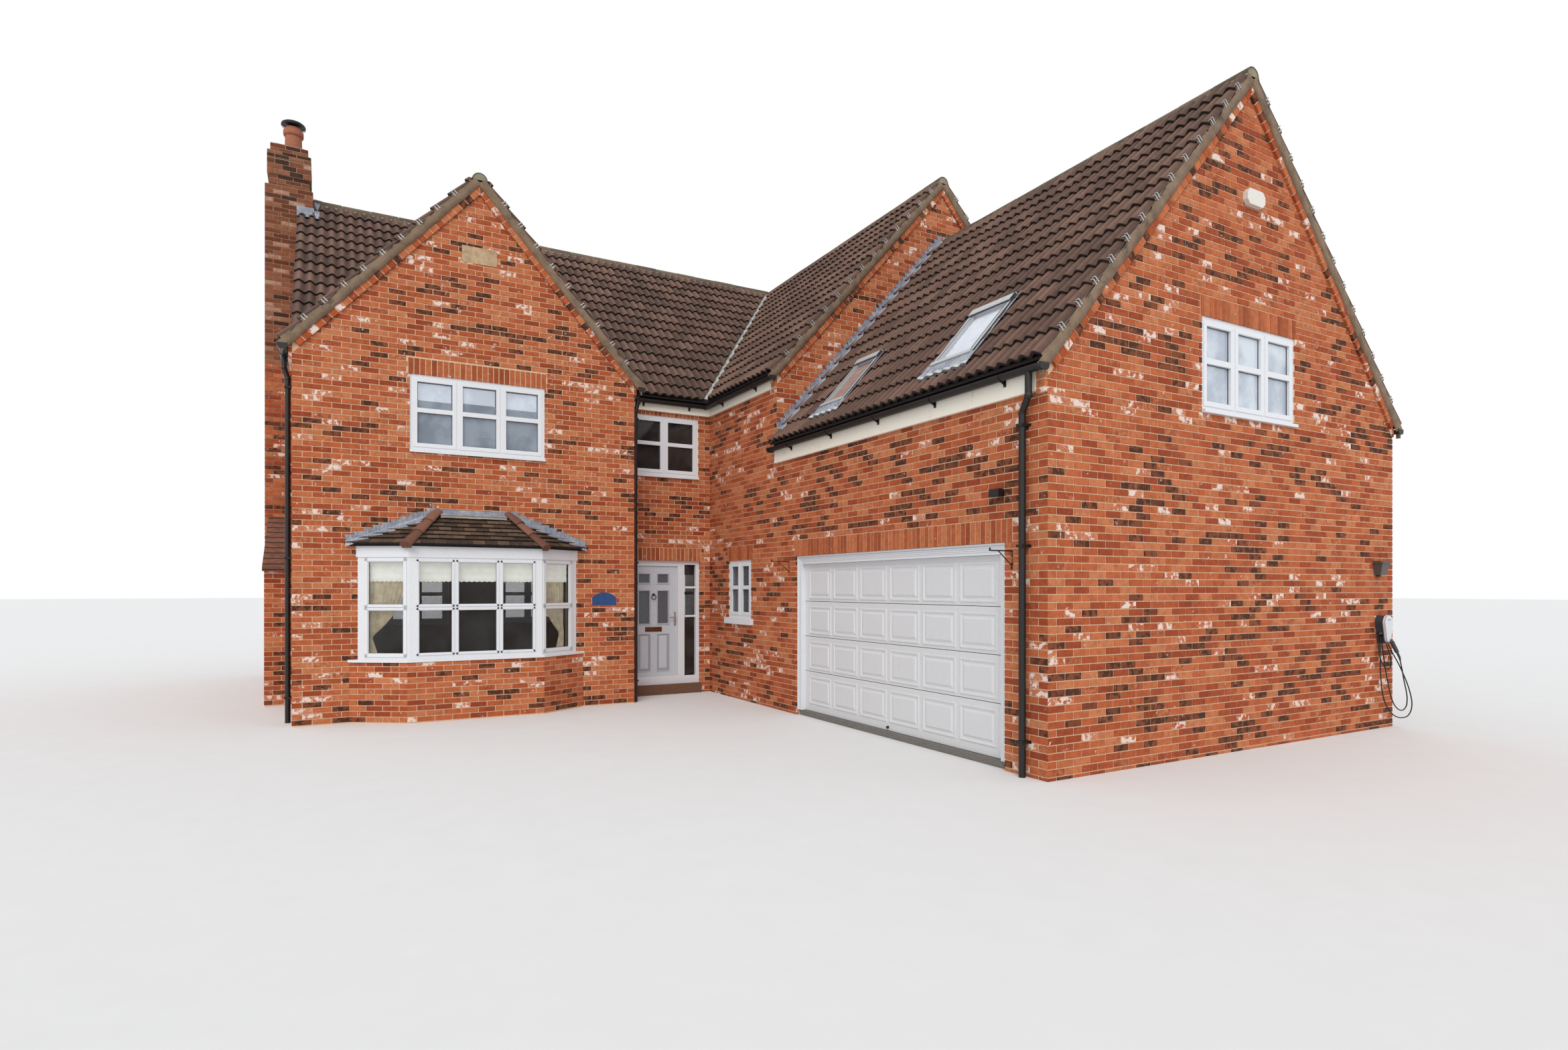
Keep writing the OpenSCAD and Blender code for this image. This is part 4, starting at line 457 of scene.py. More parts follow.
class Build:
    """Faces gathered with their material and tone, then made into one piece."""

    def __init__(self, *materials):
        self.materials = materials
        self.v, self.f, self.m, self.t, self.s = [], [], [], [], []

    def mesh(self, points, faces, mat=0, tone=0.5, smooth=False, flip=False):
        """Faces over their own points; flip turns their fronts the other way."""
        n = len(self.v)
        self.v.extend(points)
        for f in faces:
            self.f.append(tuple(n + i for i in (f[::-1] if flip else f)))
            self.m.append(mat)
            self.t.append(tone)
            self.s.append(smooth)

    def face(self, points, mat=0, tone=0.5):
        self.mesh(points, [tuple(range(len(points)))], mat, tone)

    def grid(self, rows, mat=0, tone=0.5, smooth=False, flip=False, ring=False, cap=False):
        """Quads between rows of points. ring joins the ends of each row, and cap fills the last one."""
        n, last = len(rows[0]), len(rows) - 1
        faces = [(r * n + j, r * n + (j + 1) % n, (r + 1) * n + (j + 1) % n, (r + 1) * n + j)
            for r in range(last) for j in range(n if ring else n - 1)]
        if cap:
            faces.append(tuple(range(last * n, last * n + n)))
        self.mesh([p for row in rows for p in row], faces, mat, tone, smooth, flip)

    def up(self, points, mat=0):
        """One face, turned so that its front looks up."""
        p = [Vector(q) for q in points]
        if (p[1] - p[0]).cross(p[2] - p[0]).z < 0:
            points = points[::-1]
        self.face(points, mat)

    def strips(self, rows, mat=0):
        """Faces that look up between rows of points, each with corners of its own."""
        for r, t in zip(rows, rows[1:]):
            for j in range(len(r) - 1):
                self.up([r[j], r[j + 1], t[j + 1], t[j]], mat)

    def box(self, lo, hi, at=None, mat=0):
        """A block between two corners, in the frame that at turns into the drawing's."""
        p = [(x, y, z) for z in (lo[2], hi[2]) for y in (lo[1], hi[1]) for x in (lo[0], hi[0])]
        p = [at(*q) for q in p] if at else p
        self.mesh(p, BOX_FACES, mat)

    def rings(self, at, steps, mat=0, closed=True):
        """A moulded panel: rectangles (u0, u1, v0, v1, d) joined one to the next, and the last one filled."""
        rows = [[at(a, lo, d), at(c, lo, d), at(c, hi, d), at(a, hi, d)] for a, c, lo, hi, d in steps]
        self.grid(rows, mat, ring=True, cap=closed)

    def outline(self, at, flat, d0, d1, mat=0, shrink=0.0):
        """A flat outline of (u, v) drawn out from depth d0 to d1, its front drawn in by shrink."""
        cu, cv = centre(flat)
        near = [(cu + (u - cu) * (1 - shrink), cv + (v - cv) * (1 - shrink)) for u, v in flat]
        self.mesh([at(u, v, d0) for u, v in flat] + [at(u, v, d1) for u, v in near], prism(len(flat)), mat)

    def done(self, name, slot=None, body="house", replaces=()):
        """The piece itself, riding its body, and the nodes that it stands in for; slot is not used."""
        data = bpy.data.meshes.new(name)
        data.from_pydata([Vector(p) - DATUM for p in self.v], [], self.f)
        for mat in self.materials:
            data.materials.append(mat)
        data.polygons.foreach_set("material_index", self.m)
        data.polygons.foreach_set("use_smooth", self.s)
        data.attributes.new("tone", "FLOAT", "FACE").data.foreach_set("value", self.t)
        data.update()
        obj = placed(name, data)
        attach(obj, body)
        if replaces:
            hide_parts(*replaces)
        return obj


def rand(*key):
    """A fixed value from 0 to 1 for each key."""
    x = sin(sum((k + 1.37) * w for k, w in zip(key, (12.9898, 78.233, 37.719, 93.989)))) * 43758.5453
    return x - floor(x)


def blur(x, y, z):
    """Smooth noise about 0."""
    return noise.noise(Vector((x, y, z)))


# Brickwork

# Height of a course, half a stretcher with its joint, the joint, how far faces stand out and their worn edge
COURSE, HALF_BRICK, JOINT, PROUD, INSET = 0.075, 0.1125, 0.0105, 0.006, 0.0018
# Smallest cut brick: its width and height, the area of a cut face, and an overlap that counts as none
MIN_W, MIN_H, MIN_CUT, SLIVER = 0.012, 0.010, 4e-4, 2e-5


def clip(poly, a, b, c):
    """The part of a flat polygon where a*u + b*v >= c."""
    out = []
    for i, p in enumerate(poly):
        q = poly[i - 1]
        dp, dq = a * p[0] + b * p[1] - c, a * q[0] + b * q[1] - c
        if (dp >= 0) != (dq >= 0):
            t = dq / (dq - dp)
            out.append((q[0] + (p[0] - q[0]) * t, q[1] + (p[1] - q[1]) * t))
        if dp >= 0:
            out.append(p)
    return out


def outside(poly, region):
    """The parts of a polygon outside a convex region, or None where the two don't meet."""
    rest, bits = poly, []
    for (x0, y0), (x1, y1) in zip(region, region[1:] + region[:1]):
        a, b = y0 - y1, x1 - x0
        c = a * x0 + b * y0
        off = clip(rest, -a, -b, -c)
        if len(off) > 2 and area(off) > SLIVER:
            bits.append(off)
        rest = clip(rest, a, b, c)
        if len(rest) < 3:
            return None
    return bits if area(rest) > SLIVER else None


def area(poly):
    """Area of a flat polygon."""
    return abs(sum(p[0] * q[1] - q[0] * p[1] for p, q in zip(poly, poly[1:] + poly[:1]))) / 2


def course_top(z, bed):
    """The first bed joint at or over z."""
    return bed + ceil((z - bed) / COURSE) * COURSE


def brick_tone(x, y, z, key):
    """Burnt bricks come in clusters, and washed ones in slanting drifts."""
    if rand(*key) < 0.14 + 0.30 * blur(x * 0.9, y * 0.9, z * 1.5):
        return 0.12 * rand(key[0], key[1], 5.1)
    drift = blur((x + y) * 1.3 + z * 1.1, z * 1.7 - (x + y) * 0.9, 3.0)
    if rand(key[0], key[1], 7.7) > 0.94 - 0.28 * max(0.0, drift):
        return 0.91 + 0.09 * rand(key[0], key[1], 9.1)
    return 0.18 + 0.70 * rand(key[0], key[1], 3.3)


class Wall:
    """A wall face: its left end seen from outside, the direction along it, and brickwork over it.
    build is None where only its points are asked for."""

    def __init__(self, build, x, y, ux, uy):
        self.b, self.o, self.u = build, (x, y), (ux, uy)

    def at(self, u, v, d):
        """The point u along, v up and d out of the face."""
        ux, uy = self.u
        return (self.o[0] + u * ux + d * uy, self.o[1] + u * uy - d * ux, v)

    def block(self, u0, u1, v0, v1, tone, flags="", mat=0, depth=REVEAL):
        """One brick; flags name the sides (L R B T) that show in an opening, and the corners (l r) it turns."""
        i = INSET
        a0, a1 = u0 + i, u1 - i
        c0, c1 = v0 + i, v1 - i
        back = {k: 0.0 for k in ("00", "10", "11", "01")}
        if "L" in flags:
            u0 = a0 = u0 - 0.002
            back["00"] = back["01"] = -depth
        if "R" in flags:
            u1 = a1 = u1 + 0.002
            back["10"] = back["11"] = -depth
        if "B" in flags:
            v0 = c0 = v0 - 0.002
            back["00"] = back["10"] = -depth
        if "T" in flags:
            v1 = c1 = v1 + 0.002
            back["01"] = back["11"] = -depth
        if "l" in flags:
            u0, a0 = u0 - PROUD, u0 - PROUD + i
        if "r" in flags:
            u1, a1 = u1 + PROUD, u1 + PROUD - i
        p = [self.at(u0, v0, back["00"]), self.at(u1, v0, back["10"]), self.at(u1, v1, back["11"]),
            self.at(u0, v1, back["01"]), self.at(a0, c0, PROUD), self.at(a1, c0, PROUD),
            self.at(a1, c1, PROUD), self.at(a0, c1, PROUD)]
        self.b.mesh(p, [(4, 5, 6, 7), (0, 1, 5, 4), (1, 2, 6, 5), (2, 3, 7, 6), (3, 0, 4, 7)], mat, tone)

    def piece(self, poly, tone):
        """A cut brick of any convex outline."""
        cu, cv = centre(poly)
        top = []
        for p in poly:
            k = max(0.0, 1 - INSET * 1.3 / (hypot(p[0] - cu, p[1] - cv) or 1))
            top.append((cu + (p[0] - cu) * k, cv + (p[1] - cv) * k))
        pts = [self.at(p[0], p[1], 0.0) for p in poly] + [self.at(p[0], p[1], PROUD) for p in top]
        self.b.mesh(pts, prism(len(poly)), 0, tone)

    def soldiers(self, u0, u1, v0, v1, key, depth=REVEAL):
        """A course of bricks on end over an opening."""
        n = max(1, round((u1 - u0) / COURSE))
        w = (u1 - u0) / n
        for i in range(n):
            self.block(u0 + i * w + JOINT / 2, u0 + (i + 1) * w - JOINT / 2, v0, v1 - JOINT / 2,
                0.16 + 0.66 * rand(i, key, 11.3), "B", 1, depth)

    def bond(self, u0, u1, v0, v1, holes=(), zones=(), cuts=(), gone=(), phase=0.0, ends="lr", start=0,
            span=None, key=0, height=COURSE):
        """Stretcher bond over u0..u1 and v0..v1, set out over span. holes are openings (u0, u1, v0, v1, depth)
        whose edges show, zones are left for soldiers, cuts are lines (a, b, c) that keep a*u + b*v >= c, gone are
        convex outlines left bare, and ends are the sides that turn a corner."""
        s0, s1 = span or (u0, u1)
        halves = max(1, round((s1 - s0) / HALF_BRICK))
        half = (s1 - s0) / halves
        for k in range(floor((v0 - phase) / height), ceil((v1 - phase) / height)):
            lo, hi = phase + k * height + JOINT / 2, phase + (k + 1) * height - JOINT / 2
            lo, hi = max(lo, v0), min(hi, v1)
            if hi - lo < MIN_W:
                continue
            edges = [0] + list(range(2 - (k + start) % 2, halves, 2)) + [halves]
            for e0, e1 in zip(edges, edges[1:]):
                a = s0 + e0 * half + (JOINT / 2 if e0 else 0)
                b = s0 + e1 * half - (JOINT / 2 if e1 < halves else 0)
                flags = ("l" if not e0 and "l" in ends else "") + ("r" if e1 == halves and "r" in ends else "")
                a, b = max(a, u0), min(b, u1)
                if b - a < MIN_W:
                    continue
                tone = brick_tone(*self.at((a + b) / 2, lo, 0), (e0 + 40.0 * key, k, key))
                self.cut_brick((a, b, lo, hi, flags, REVEAL), tone, holes, zones, cuts, gone)

    def cut_brick(self, brick, tone, holes, zones, cuts, gone):
        """One brick less the openings, zones, cut lines and bare outlines that it meets."""
        parts = [brick]
        for h, shows in [(h, True) for h in holes] + [(z[:4], False) for z in zones]:
            g, deep, nxt = (0 if shows else JOINT / 2), (h[4] if shows else REVEAL), []
            for (a, b, lo, hi, fl, dp) in parts:
                if b <= h[0] or a >= h[1] or hi <= h[2] or lo >= h[3]:
                    nxt.append((a, b, lo, hi, fl, dp))
                    continue
                if a < h[0]:
                    nxt.append((a, h[0] - g, lo, hi, fl.replace("r", "") + ("R" if shows else ""), deep))
                if b > h[1]:
                    nxt.append((h[1] + g, b, lo, hi, fl.replace("l", "") + ("L" if shows else ""), deep))
                m0, m1 = max(a, h[0]), min(b, h[1])
                if lo < h[2]:
                    nxt.append((m0, m1, lo, h[2] - g, fl + ("T" if shows else ""), deep))
                if hi > h[3]:
                    nxt.append((m0, m1, h[3] + g, hi, fl + ("B" if shows else ""), deep))
            parts = nxt
        for (a, b, lo, hi, fl, dp) in parts:
            if b - a < MIN_W or hi - lo < MIN_H:
                continue
            poly, whole = [(a, lo), (b, lo), (b, hi), (a, hi)], True
            for (ca, cb, cc) in cuts:
                if poly and any(ca * u + cb * v < cc for u, v in poly):
                    poly, whole = clip(poly, ca, cb, cc), False
            if not poly:
                continue
            polys = [poly]
            for region in gone:
                kept = []
                for q in polys:
                    bits = outside(q, region)
                    whole = whole and bits is None
                    kept += [q] if bits is None else bits
                polys = kept
            if whole:
                self.block(a, b, lo, hi, tone, fl, 0, dp)
            else:
                for q in polys:
                    if len(q) > 2 and area(q) > MIN_CUT:
                        self.piece(q, tone)


def gable_cuts(w, plate, drop=0.0):
    """Lines under the two slopes of a gable w wide at its plates, a distance drop below them."""
    return [(SW, -CW, -CW * plate + drop), (-SW, -CW, -CW * plate - SW * w + drop)]


def kneelers(b, x0, x1, y, plate, drops, phase, key):
    """Bricks round the kneeler blocks at both feet of a front gable."""
    for i, side in enumerate((-1, 1)):
        z0, z1 = plate - drops[i], plate - KNEEL * TW - 0.004
        common = dict(phase=phase, ends="", key=key + 3 * i)
        left, right = (x0 - KNEEL, x0) if side < 0 else (x1, x1 + KNEEL)
        outer = Wall(b, left, y + KNEEL_T, 0, -1) if side < 0 else Wall(b, right, y, 0, 1)
        outer.bond(0, KNEEL_T, z0, z1, **common)
        Wall(b, left, y, 1, 0).bond(0, KNEEL, z0, z1 + 0.03, **common)
        Wall(b, right, y + KNEEL_T, -1, 0).bond(0, KNEEL, z0, z1, **common)


# The bay's middle, widths at the wall and in front, depth, and its roof's half width at the top
BAY_C, BAY_W, BAY_F, BAY_P, BAY_TOP = 2.236, 2.970, 1.766, 0.380, 0.486
# Foot of the bay's roof, its rise, and how far it stands over the frame
BAY_Z, BAY_RISE, BAY_OUT = 2.415, 0.425, 0.055
CANT = atan(BAY_P / ((BAY_W - BAY_F) / 2))
BAY_END = BAY_W / 2 + BAY_OUT / sin(CANT)
# Windows as the left end along the wall, width, foot and height
LEFT_WINDOW = (1.395, 1.850, 3.745, 1.058)
ENTRY_WINDOW = (4.806, 1.262, 3.745, 1.018)
GARAGE_WINDOW = (8.6065, 1.769, 3.745, 1.018)
CLOAK = (0.780, 0.834, 1.330, 0.942)
BACK_WINDOWS = [(WR - x - w, w, z, h) for x, w in ((1.0, 1.850), (4.05, 1.262), (8.54, 1.850))
    for z, h in ((1.0, 1.280), (3.745, 1.058))]


def bay_plan(t):
    """The bay's outline, moved in by t from the frame's outer face."""
    x0 = BAY_C - BAY_W / 2
    ax = x0 + t * sin(CANT) + (BAY_P - t + t * cos(CANT)) / tan(CANT)
    a = x0 + t / sin(CANT)
    return [(a, 0.0), (ax, t - BAY_P), (2 * BAY_C - ax, t - BAY_P), (2 * BAY_C - a, 0.0)]


def opening(window, x0=0.0, sill=SILL_H):
    """A window's hole in a wall that starts at x0, its sill left open with it."""
    x, w, z, h = window
    return (x - x0, x - x0 + w, z - sill, z + h, REVEAL)


def wing_wall(b):
    """The right wing's side along the drive, from the recess to the garage's front."""
    return Wall(b, WX, RECESS, 0, -1)


# Depth of the bricks along a gable's slopes with the joint under them
BAND = 0.105 + 0.004


def gable_front(name, x0, x1, y, plate, window, head, height, bed, drops, key, gone=()):
    """A front gable with one window: its bricks, soldiers and kneelers."""
    b = Build(BRICK, SOLDIER)
    w = Wall(b, x0, y, 1, 0)
    hole = opening(window, x0)
    zone = (hole[0] - 0.02, hole[1] + 0.02, hole[3], head)
    w.bond(0, x1 - x0, 0, height, [hole], [zone], gable_cuts(x1 - x0, plate, BAND), gone, phase=bed, key=key)
    w.soldiers(*zone, key)
    kneelers(b, x0, x1, y, plate, drops, bed, 100 + key)
    b.done(name, "brick")


def brickwork():
    """The bricks of every outer wall, one piece for each."""
    top, gtop = PLATE - DROP, GPLATE - GDROP
    wide = WR - WX
    # The bay roof's and the bay's outlines are left bare
    bare = [[(BAY_C - BAY_END, BAY_Z), (BAY_C + BAY_END, BAY_Z), (BAY_C + BAY_TOP, 2.86), (BAY_C - BAY_TOP, 2.86)],
        [(0.760, -0.1), (3.712, -0.1), (3.712, 2.42), (0.760, 2.42)]]
    gable_front("left_wing_front_bricks", 0, LW, 0, PLATE, LEFT_WINDOW, UPPER_HEAD, 7.7, LEFT_BED, (DROP, DROP), 1,
        bare)
    # Left side with the main roof's gable, bare behind the stack and the hearth
    b = Build(BRICK, SOLDIER)
    w = Wall(b, 0, BACK, 0, -1)
    mid, half = BACK - RIDGE_Y, RIDGE_Y - RECESS
    s, c = sin(MAIN_P), cos(MAIN_P)
    cuts = [(s, -c, -c * PLATE), (-s, -c, -c * PLATE - s * 2 * half)]
    h0, h1 = BACK - HEARTH_Y1, BACK - HEARTH_Y0
    gone = [[(mid - STACK_HALF, -1), (mid + STACK_HALF, -1), (mid + STACK_HALF, 9), (mid - STACK_HALF, 9)],
        [(h0, -1), (h1, -1), (h1, HEARTH_LOW), (h0, HEARTH_LOW)],
        [(h0, 2.1), (BACK - 4.89, 2.1), (BACK - 4.89, HEARTH_TOP)],
        [(BACK - 4.01, 2.1), (h1, 2.1), (BACK - 4.01, HEARTH_TOP)]]
    common = dict(phase=LEFT_BED, span=(0, BACK), start=1, key=2)
    w.bond(0, BACK - RECESS, 0, 8.6, cuts=cuts, gone=gone, ends="l", **common)
    w.bond(BACK - RECESS, BACK, 0, top, ends="r", **common)
    b.done("left_side_bricks", "brick")
    # Recess: the return wall and the wall over and beside the door
    b = Build(BRICK, SOLDIER)
    Wall(b, LW, 0, 0, 1).bond(0, RECESS, 0, top, phase=LEFT_BED, start=1, key=3, ends="l")
    w = Wall(b, LW, RECESS, 1, 0)
    door = (DOOR_X0 - LW, DOOR_X1 - LW, 0, DOOR_TOP, DOOR_REVEAL)
    hole = opening(ENTRY_WINDOW, LW)
    zones = [(door[0] - 0.01, door[1] + 0.01, door[3], LOW_HEAD), (hole[0], hole[1], hole[3], top)]
    w.bond(0, WX - LW, 0, top, [door, hole], zones, phase=RIGHT_BED, key=4, ends="")
    w.soldiers(*zones[0], 4, DOOR_REVEAL)
    w.soldiers(*zones[1], 5)
    b.done("recess_bricks", "brick")
    # The wing's left side: tall part, then the garage
    b = Build(BRICK, SOLDIER)
    w = wing_wall(b)
    deep, total = RECESS - GABLE_Y, RECESS - GARAGE_Y
    cloak = opening(CLOAK, sill=0.0)
    sill = (cloak[0] - 0.06, cloak[1] + 0.06, cloak[2] - 0.100, cloak[2], 0.004)
    door = (RECESS + GARAGE_U, RECESS + GARAGE_U + GARAGE_W, 0, GARAGE_TOP, GARAGE_REVEAL)
    zones = [(cloak[0] - 0.06, cloak[1] + 0.06, cloak[3], LOW_HEAD),
        (door[0] - 0.06, door[1] + 0.10, door[3], LOW_HEAD)]
    common = dict(holes=[cloak, sill, door], zones=zones, phase=RIGHT_BED, span=(0, total), start=1, key=6)
    w.bond(0, deep, 0, top, ends="", **common)
    w.bond(deep, total, 0, gtop, ends="r", **common)
    w.soldiers(*zones[0], 6)
    w.soldiers(*zones[1], 7, GARAGE_REVEAL)
    b.done("wing_side_bricks", "brick")
    # Tall gable above the garage roof
    b = Build(BRICK, SOLDIER)
    w = Wall(b, WX, GABLE_Y, 1, 0)
    low = GPLATE + ZW
    for (u0, u1, line) in ((0, wide / 2, (-SW, CW, CW * low)), (wide / 2, wide, (SW, CW, CW * low + SW * wide))):
        w.bond(u0, u1, GPLATE, 8.7, cuts=gable_cuts(wide, PLATE, BAND) + [line], phase=RIGHT_BED, span=(0, wide),
            key=8)
    kneelers(b, WX, WR, GABLE_Y, PLATE, (DROP, DROP), RIGHT_BED, 108)
    b.done("tall_gable_bricks", "brick")
    gable_front("garage_front_bricks", WX, WR, GARAGE_Y, GPLATE, GARAGE_WINDOW, GARAGE_HEAD, 7.6, RIGHT_BED,
        (0.310, 0.160), 9)
    # Right side
    b = Build(BRICK, SOLDIER)
    w = Wall(b, WR, GARAGE_Y, 0, 1)
    total = BACK - GARAGE_Y
    common = dict(phase=RIGHT_BED, span=(0, total), start=1, key=10)
    w.bond(0, GABLE_Y - GARAGE_Y, 0, gtop, ends="l", **common)
    w.bond(GABLE_Y - GARAGE_Y, total, 0, top, ends="r", **common)
    b.done("right_side_bricks", "brick")
    # Back
    b = Build(BRICK, SOLDIER)
    w = Wall(b, WR, BACK, -1, 0)
    holes = [opening(x) for x in BACK_WINDOWS]
    zones = [(h[0], h[1], h[3], LOW_HEAD if h[3] < 3 else UPPER_HEAD if h[0] < 3.2 else top) for h in holes]
    common = dict(holes=holes, zones=zones, phase=RIGHT_BED, span=(0, WR), key=12)
    w.bond(0, wide, 0, 8.6, cuts=gable_cuts(wide, PLATE), ends="l", **common)
    w.bond(wide, WR, 0, top, ends="r", **common)
    for i, z in enumerate(zones):
        if z[3] - z[2] > 0.05:
            w.soldiers(*z, 12 + i)
    b.done("back_bricks", "brick")


def verges():
    """On the three front gables: bricks along the slopes, and mortar under the tiles' edges."""
    for name, c0, y, plate, half in (("left", LRX, 0, PLATE, LW / 2), ("tall", WRX, GABLE_Y, PLATE, HALF),
            ("garage", WRX, GARAGE_Y, GPLATE, HALF)):
        b = Build(BRICK, SOLDIER, VERGE_MORTAR)
        long = half / CW
        n = round(long / (2 * HALF_BRICK))
        p = long / n
        for side in (-1, 1):

            def at(a, d, out, side=side):
                # a along the slope from its foot, d down from the roof line, out from the wall
                return (c0 + side * (a * CW + d * SW - half), y - out, plate - 0.001 + a * SW - d * CW)
            for i in range(2 * n):
                # Half bricks side by side, cut plumb at the foot and at the apex
                a0, a1 = i * p / 2 + JOINT / 2, (i + 1) * p / 2 - JOINT / 2
                q = clip([(a0, 0.0), (a1, 0.0), (a1, 0.107), (a0, 0.107)], CW, SW, 0.004)
                q = clip(q, -CW, -SW, -half + 0.004)
                if len(q) < 3 or area(q) < 3e-4:
                    continue
                cu, cv = centre(q)
                pts = [at(t[0], t[1], 0.0) for t in q]
                pts += [at(cu + (t[0] - cu) * 0.97, cv + (t[1] - cv) * 0.97, 0.034) for t in q]
                tone = brick_tone(*at(a0, 0.05, 0), (i, side + 2, half + plate))
                b.mesh(pts, prism(len(q)), 0, tone, flip=side > 0)
            # Mortar, drawn down over the bricks with an uneven lower edge and cut off square at the foot
            m = round(long / 0.05)
            foot = -0.115 / CW
            rows = []
            for i in range(m + 1):
                a = foot + (long - foot) * i / m
                d = 0.026 + 0.010 * blur(a * 6, side * 3, c0 + y)
                out = 0.052 + 0.004 * blur(a * 9, side * 5, c0 - y)
                rows.append([at(a, -0.092, out - 0.002), at(a, -0.045, out), at(a, d - 0.004, out - 0.002),
                    at(a, d, 0.030)])
            b.grid(rows, 2, smooth=True, flip=side < 0)
            x, _, z = at(foot, 0, 0)
            b.box((min(x, x + side * 0.012), y - 0.052, z - 0.045), (max(x, x + side * 0.012), y - 0.002, z + 0.060),
                mat=2)
        b.done(name + "_verge_bricks", "brick")


def box_bricks(b, x0, x1, y0, y1, z0, z1, key):
    """Bond round a box."""
    n = max(1, round((z1 - z0) / COURSE))
    h = (z1 - z0) / n
    for i, (x, y, ux, uy, wide) in enumerate(((x0, y1, 0, -1, y1 - y0), (x0, y0, 1, 0, x1 - x0),
            (x1, y0, 0, 1, y1 - y0), (x1, y1, -1, 0, x1 - x0))):
        Wall(b, x, y, ux, uy).bond(0, wide, z0, z1 + 0.001, phase=z0, start=i % 2, key=key + i, height=h,
            ends="lr" if i % 2 else "")


def chimney_bricks():
    """The stack from the ground to its corbelled top, and the mortar round the pot."""
    b = Build(STACK, TOP_MORTAR, BRICK)
    x0, x1, y0, y1 = STACK_X0, STACK_X1, RIDGE_Y - STACK_HALF, RIDGE_Y + STACK_HALF
    wide, deep, clear = x1 - x0, 2 * STACK_HALF, 8.3
    Wall(b, x0, y1, 0, -1).bond(0, deep, 0, STACK_TOP, phase=LEFT_BED, key=30, ends="")
    for side, (x, y, ux) in enumerate(((x0, y0, 1), (x1, y1, -1))):
        w = Wall(b, x, y, ux, 0)
        common = dict(phase=LEFT_BED, span=(0, wide), start=1, key=31 + side)
        w.bond(*((0, -x0) if side == 0 else (x1, wide)), 0, clear, **common)
        w.bond(0, wide, clear, STACK_TOP, **common)
    Wall(b, x1, y0, 0, 1).bond(0, deep, clear, STACK_TOP, phase=LEFT_BED, key=33, ends="")
    for inset, z0, z1, key in ((0.055, STACK_TOP, 8.92, 34), (0.030, 8.92, 9.18, 38), (0.030, 9.202, 9.32, 42),
            (0.075, 9.32, 9.46, 46)):
        box_bricks(b, x0 + inset, x1 - inset, y0 + inset, y1 - inset, z0, z1, key)
    # Mortar haunching from the square top up to the round pot
    rows = []
    for (r, z, square) in ((0.25, 9.462, 1.0), (0.21, 9.492, 0.7), (0.172, 9.522, 0.25), (0.150, 9.545, 0.0)):
        row = []
        for i in range(32):
            a = 2 * pi * i / 32
            k = 1 / max(abs(cos(a)), abs(sin(a)))
            sx = r * (k * square + 1 - square)
            row.append((-0.120 - 0.05 * square + sx * cos(a),
                RIDGE_Y + sx * (1 + 0.33 * square) * sin(a), z + 0.003 * rand(i, r)))
        rows.append(row)
    b.grid(rows, 1, smooth=True, ring=True)
    # Sooty above the eaves, and as the walls below
    b.m = [2 if m == 0 and b.v[f[0]][2] < 5.6 else m for m, f in zip(b.m, b.f)]
    b.done("chimney_bricks", "brick")


def hearth_bricks():
    """The sloping hearth wall on both sides of the stack, and its two ends."""
    b = Build(BRICK, SOLDIER)
    half = 1.6
    k = (HEARTH_TOP - HEARTH_LOW) / half
    for y, cut, key, ends in ((HEARTH_Y1, (k, -1, -2.105), 50, "l"), (4.00, (-k, -1, -2.975), 51, "r")):
        Wall(b, -HEARTH_OUT, y, 0, -1).bond(0, half, 0, HEARTH_TOP, cuts=[cut], phase=LEFT_BED, key=key, ends=ends)
    for x, y, ux, key, ends in ((-HEARTH_OUT, HEARTH_Y0, 1, 52, "l"), (0, HEARTH_Y1, -1, 53, "r")):
        Wall(b, x, y, ux, 0).bond(0, HEARTH_OUT, 0, 2.10, phase=LEFT_BED, start=1, key=key, ends=ends)
    b.done("hearth_bricks", "brick")


def bay_base_bricks():
    """The low wall under the bay, turned at its two corners."""
    b = Build(BRICK, SOLDIER)
    plan = bay_plan(-0.05)
    for i, (p, q) in enumerate(zip(plan, plan[1:])):
        d = hypot(q[0] - p[0], q[1] - p[1])
        Wall(b, p[0], p[1], (q[0] - p[0]) / d, (q[1] - p[1]) / d).bond(0, d, 0, 0.815, phase=LEFT_BED, key=60 + i,
            start=i % 2, ends="lr" if i == 1 else "")
    b.done("bay_base_bricks", "brick")


# Roof tiling

# Gauge of the courses, width of a tile, rise to its lower edge, depth of its waves and how far it overlaps
GAUGE, TILE_W, RISE, WAVE, LAP = 0.345, 0.300, 0.036, 0.044, 0.012
# Height of a trough over the roof, thickness of the edge, and how deep the shaded gap under it reaches
BASE_H, EDGE_H, GAP_H = 0.004, 0.012, 0.046


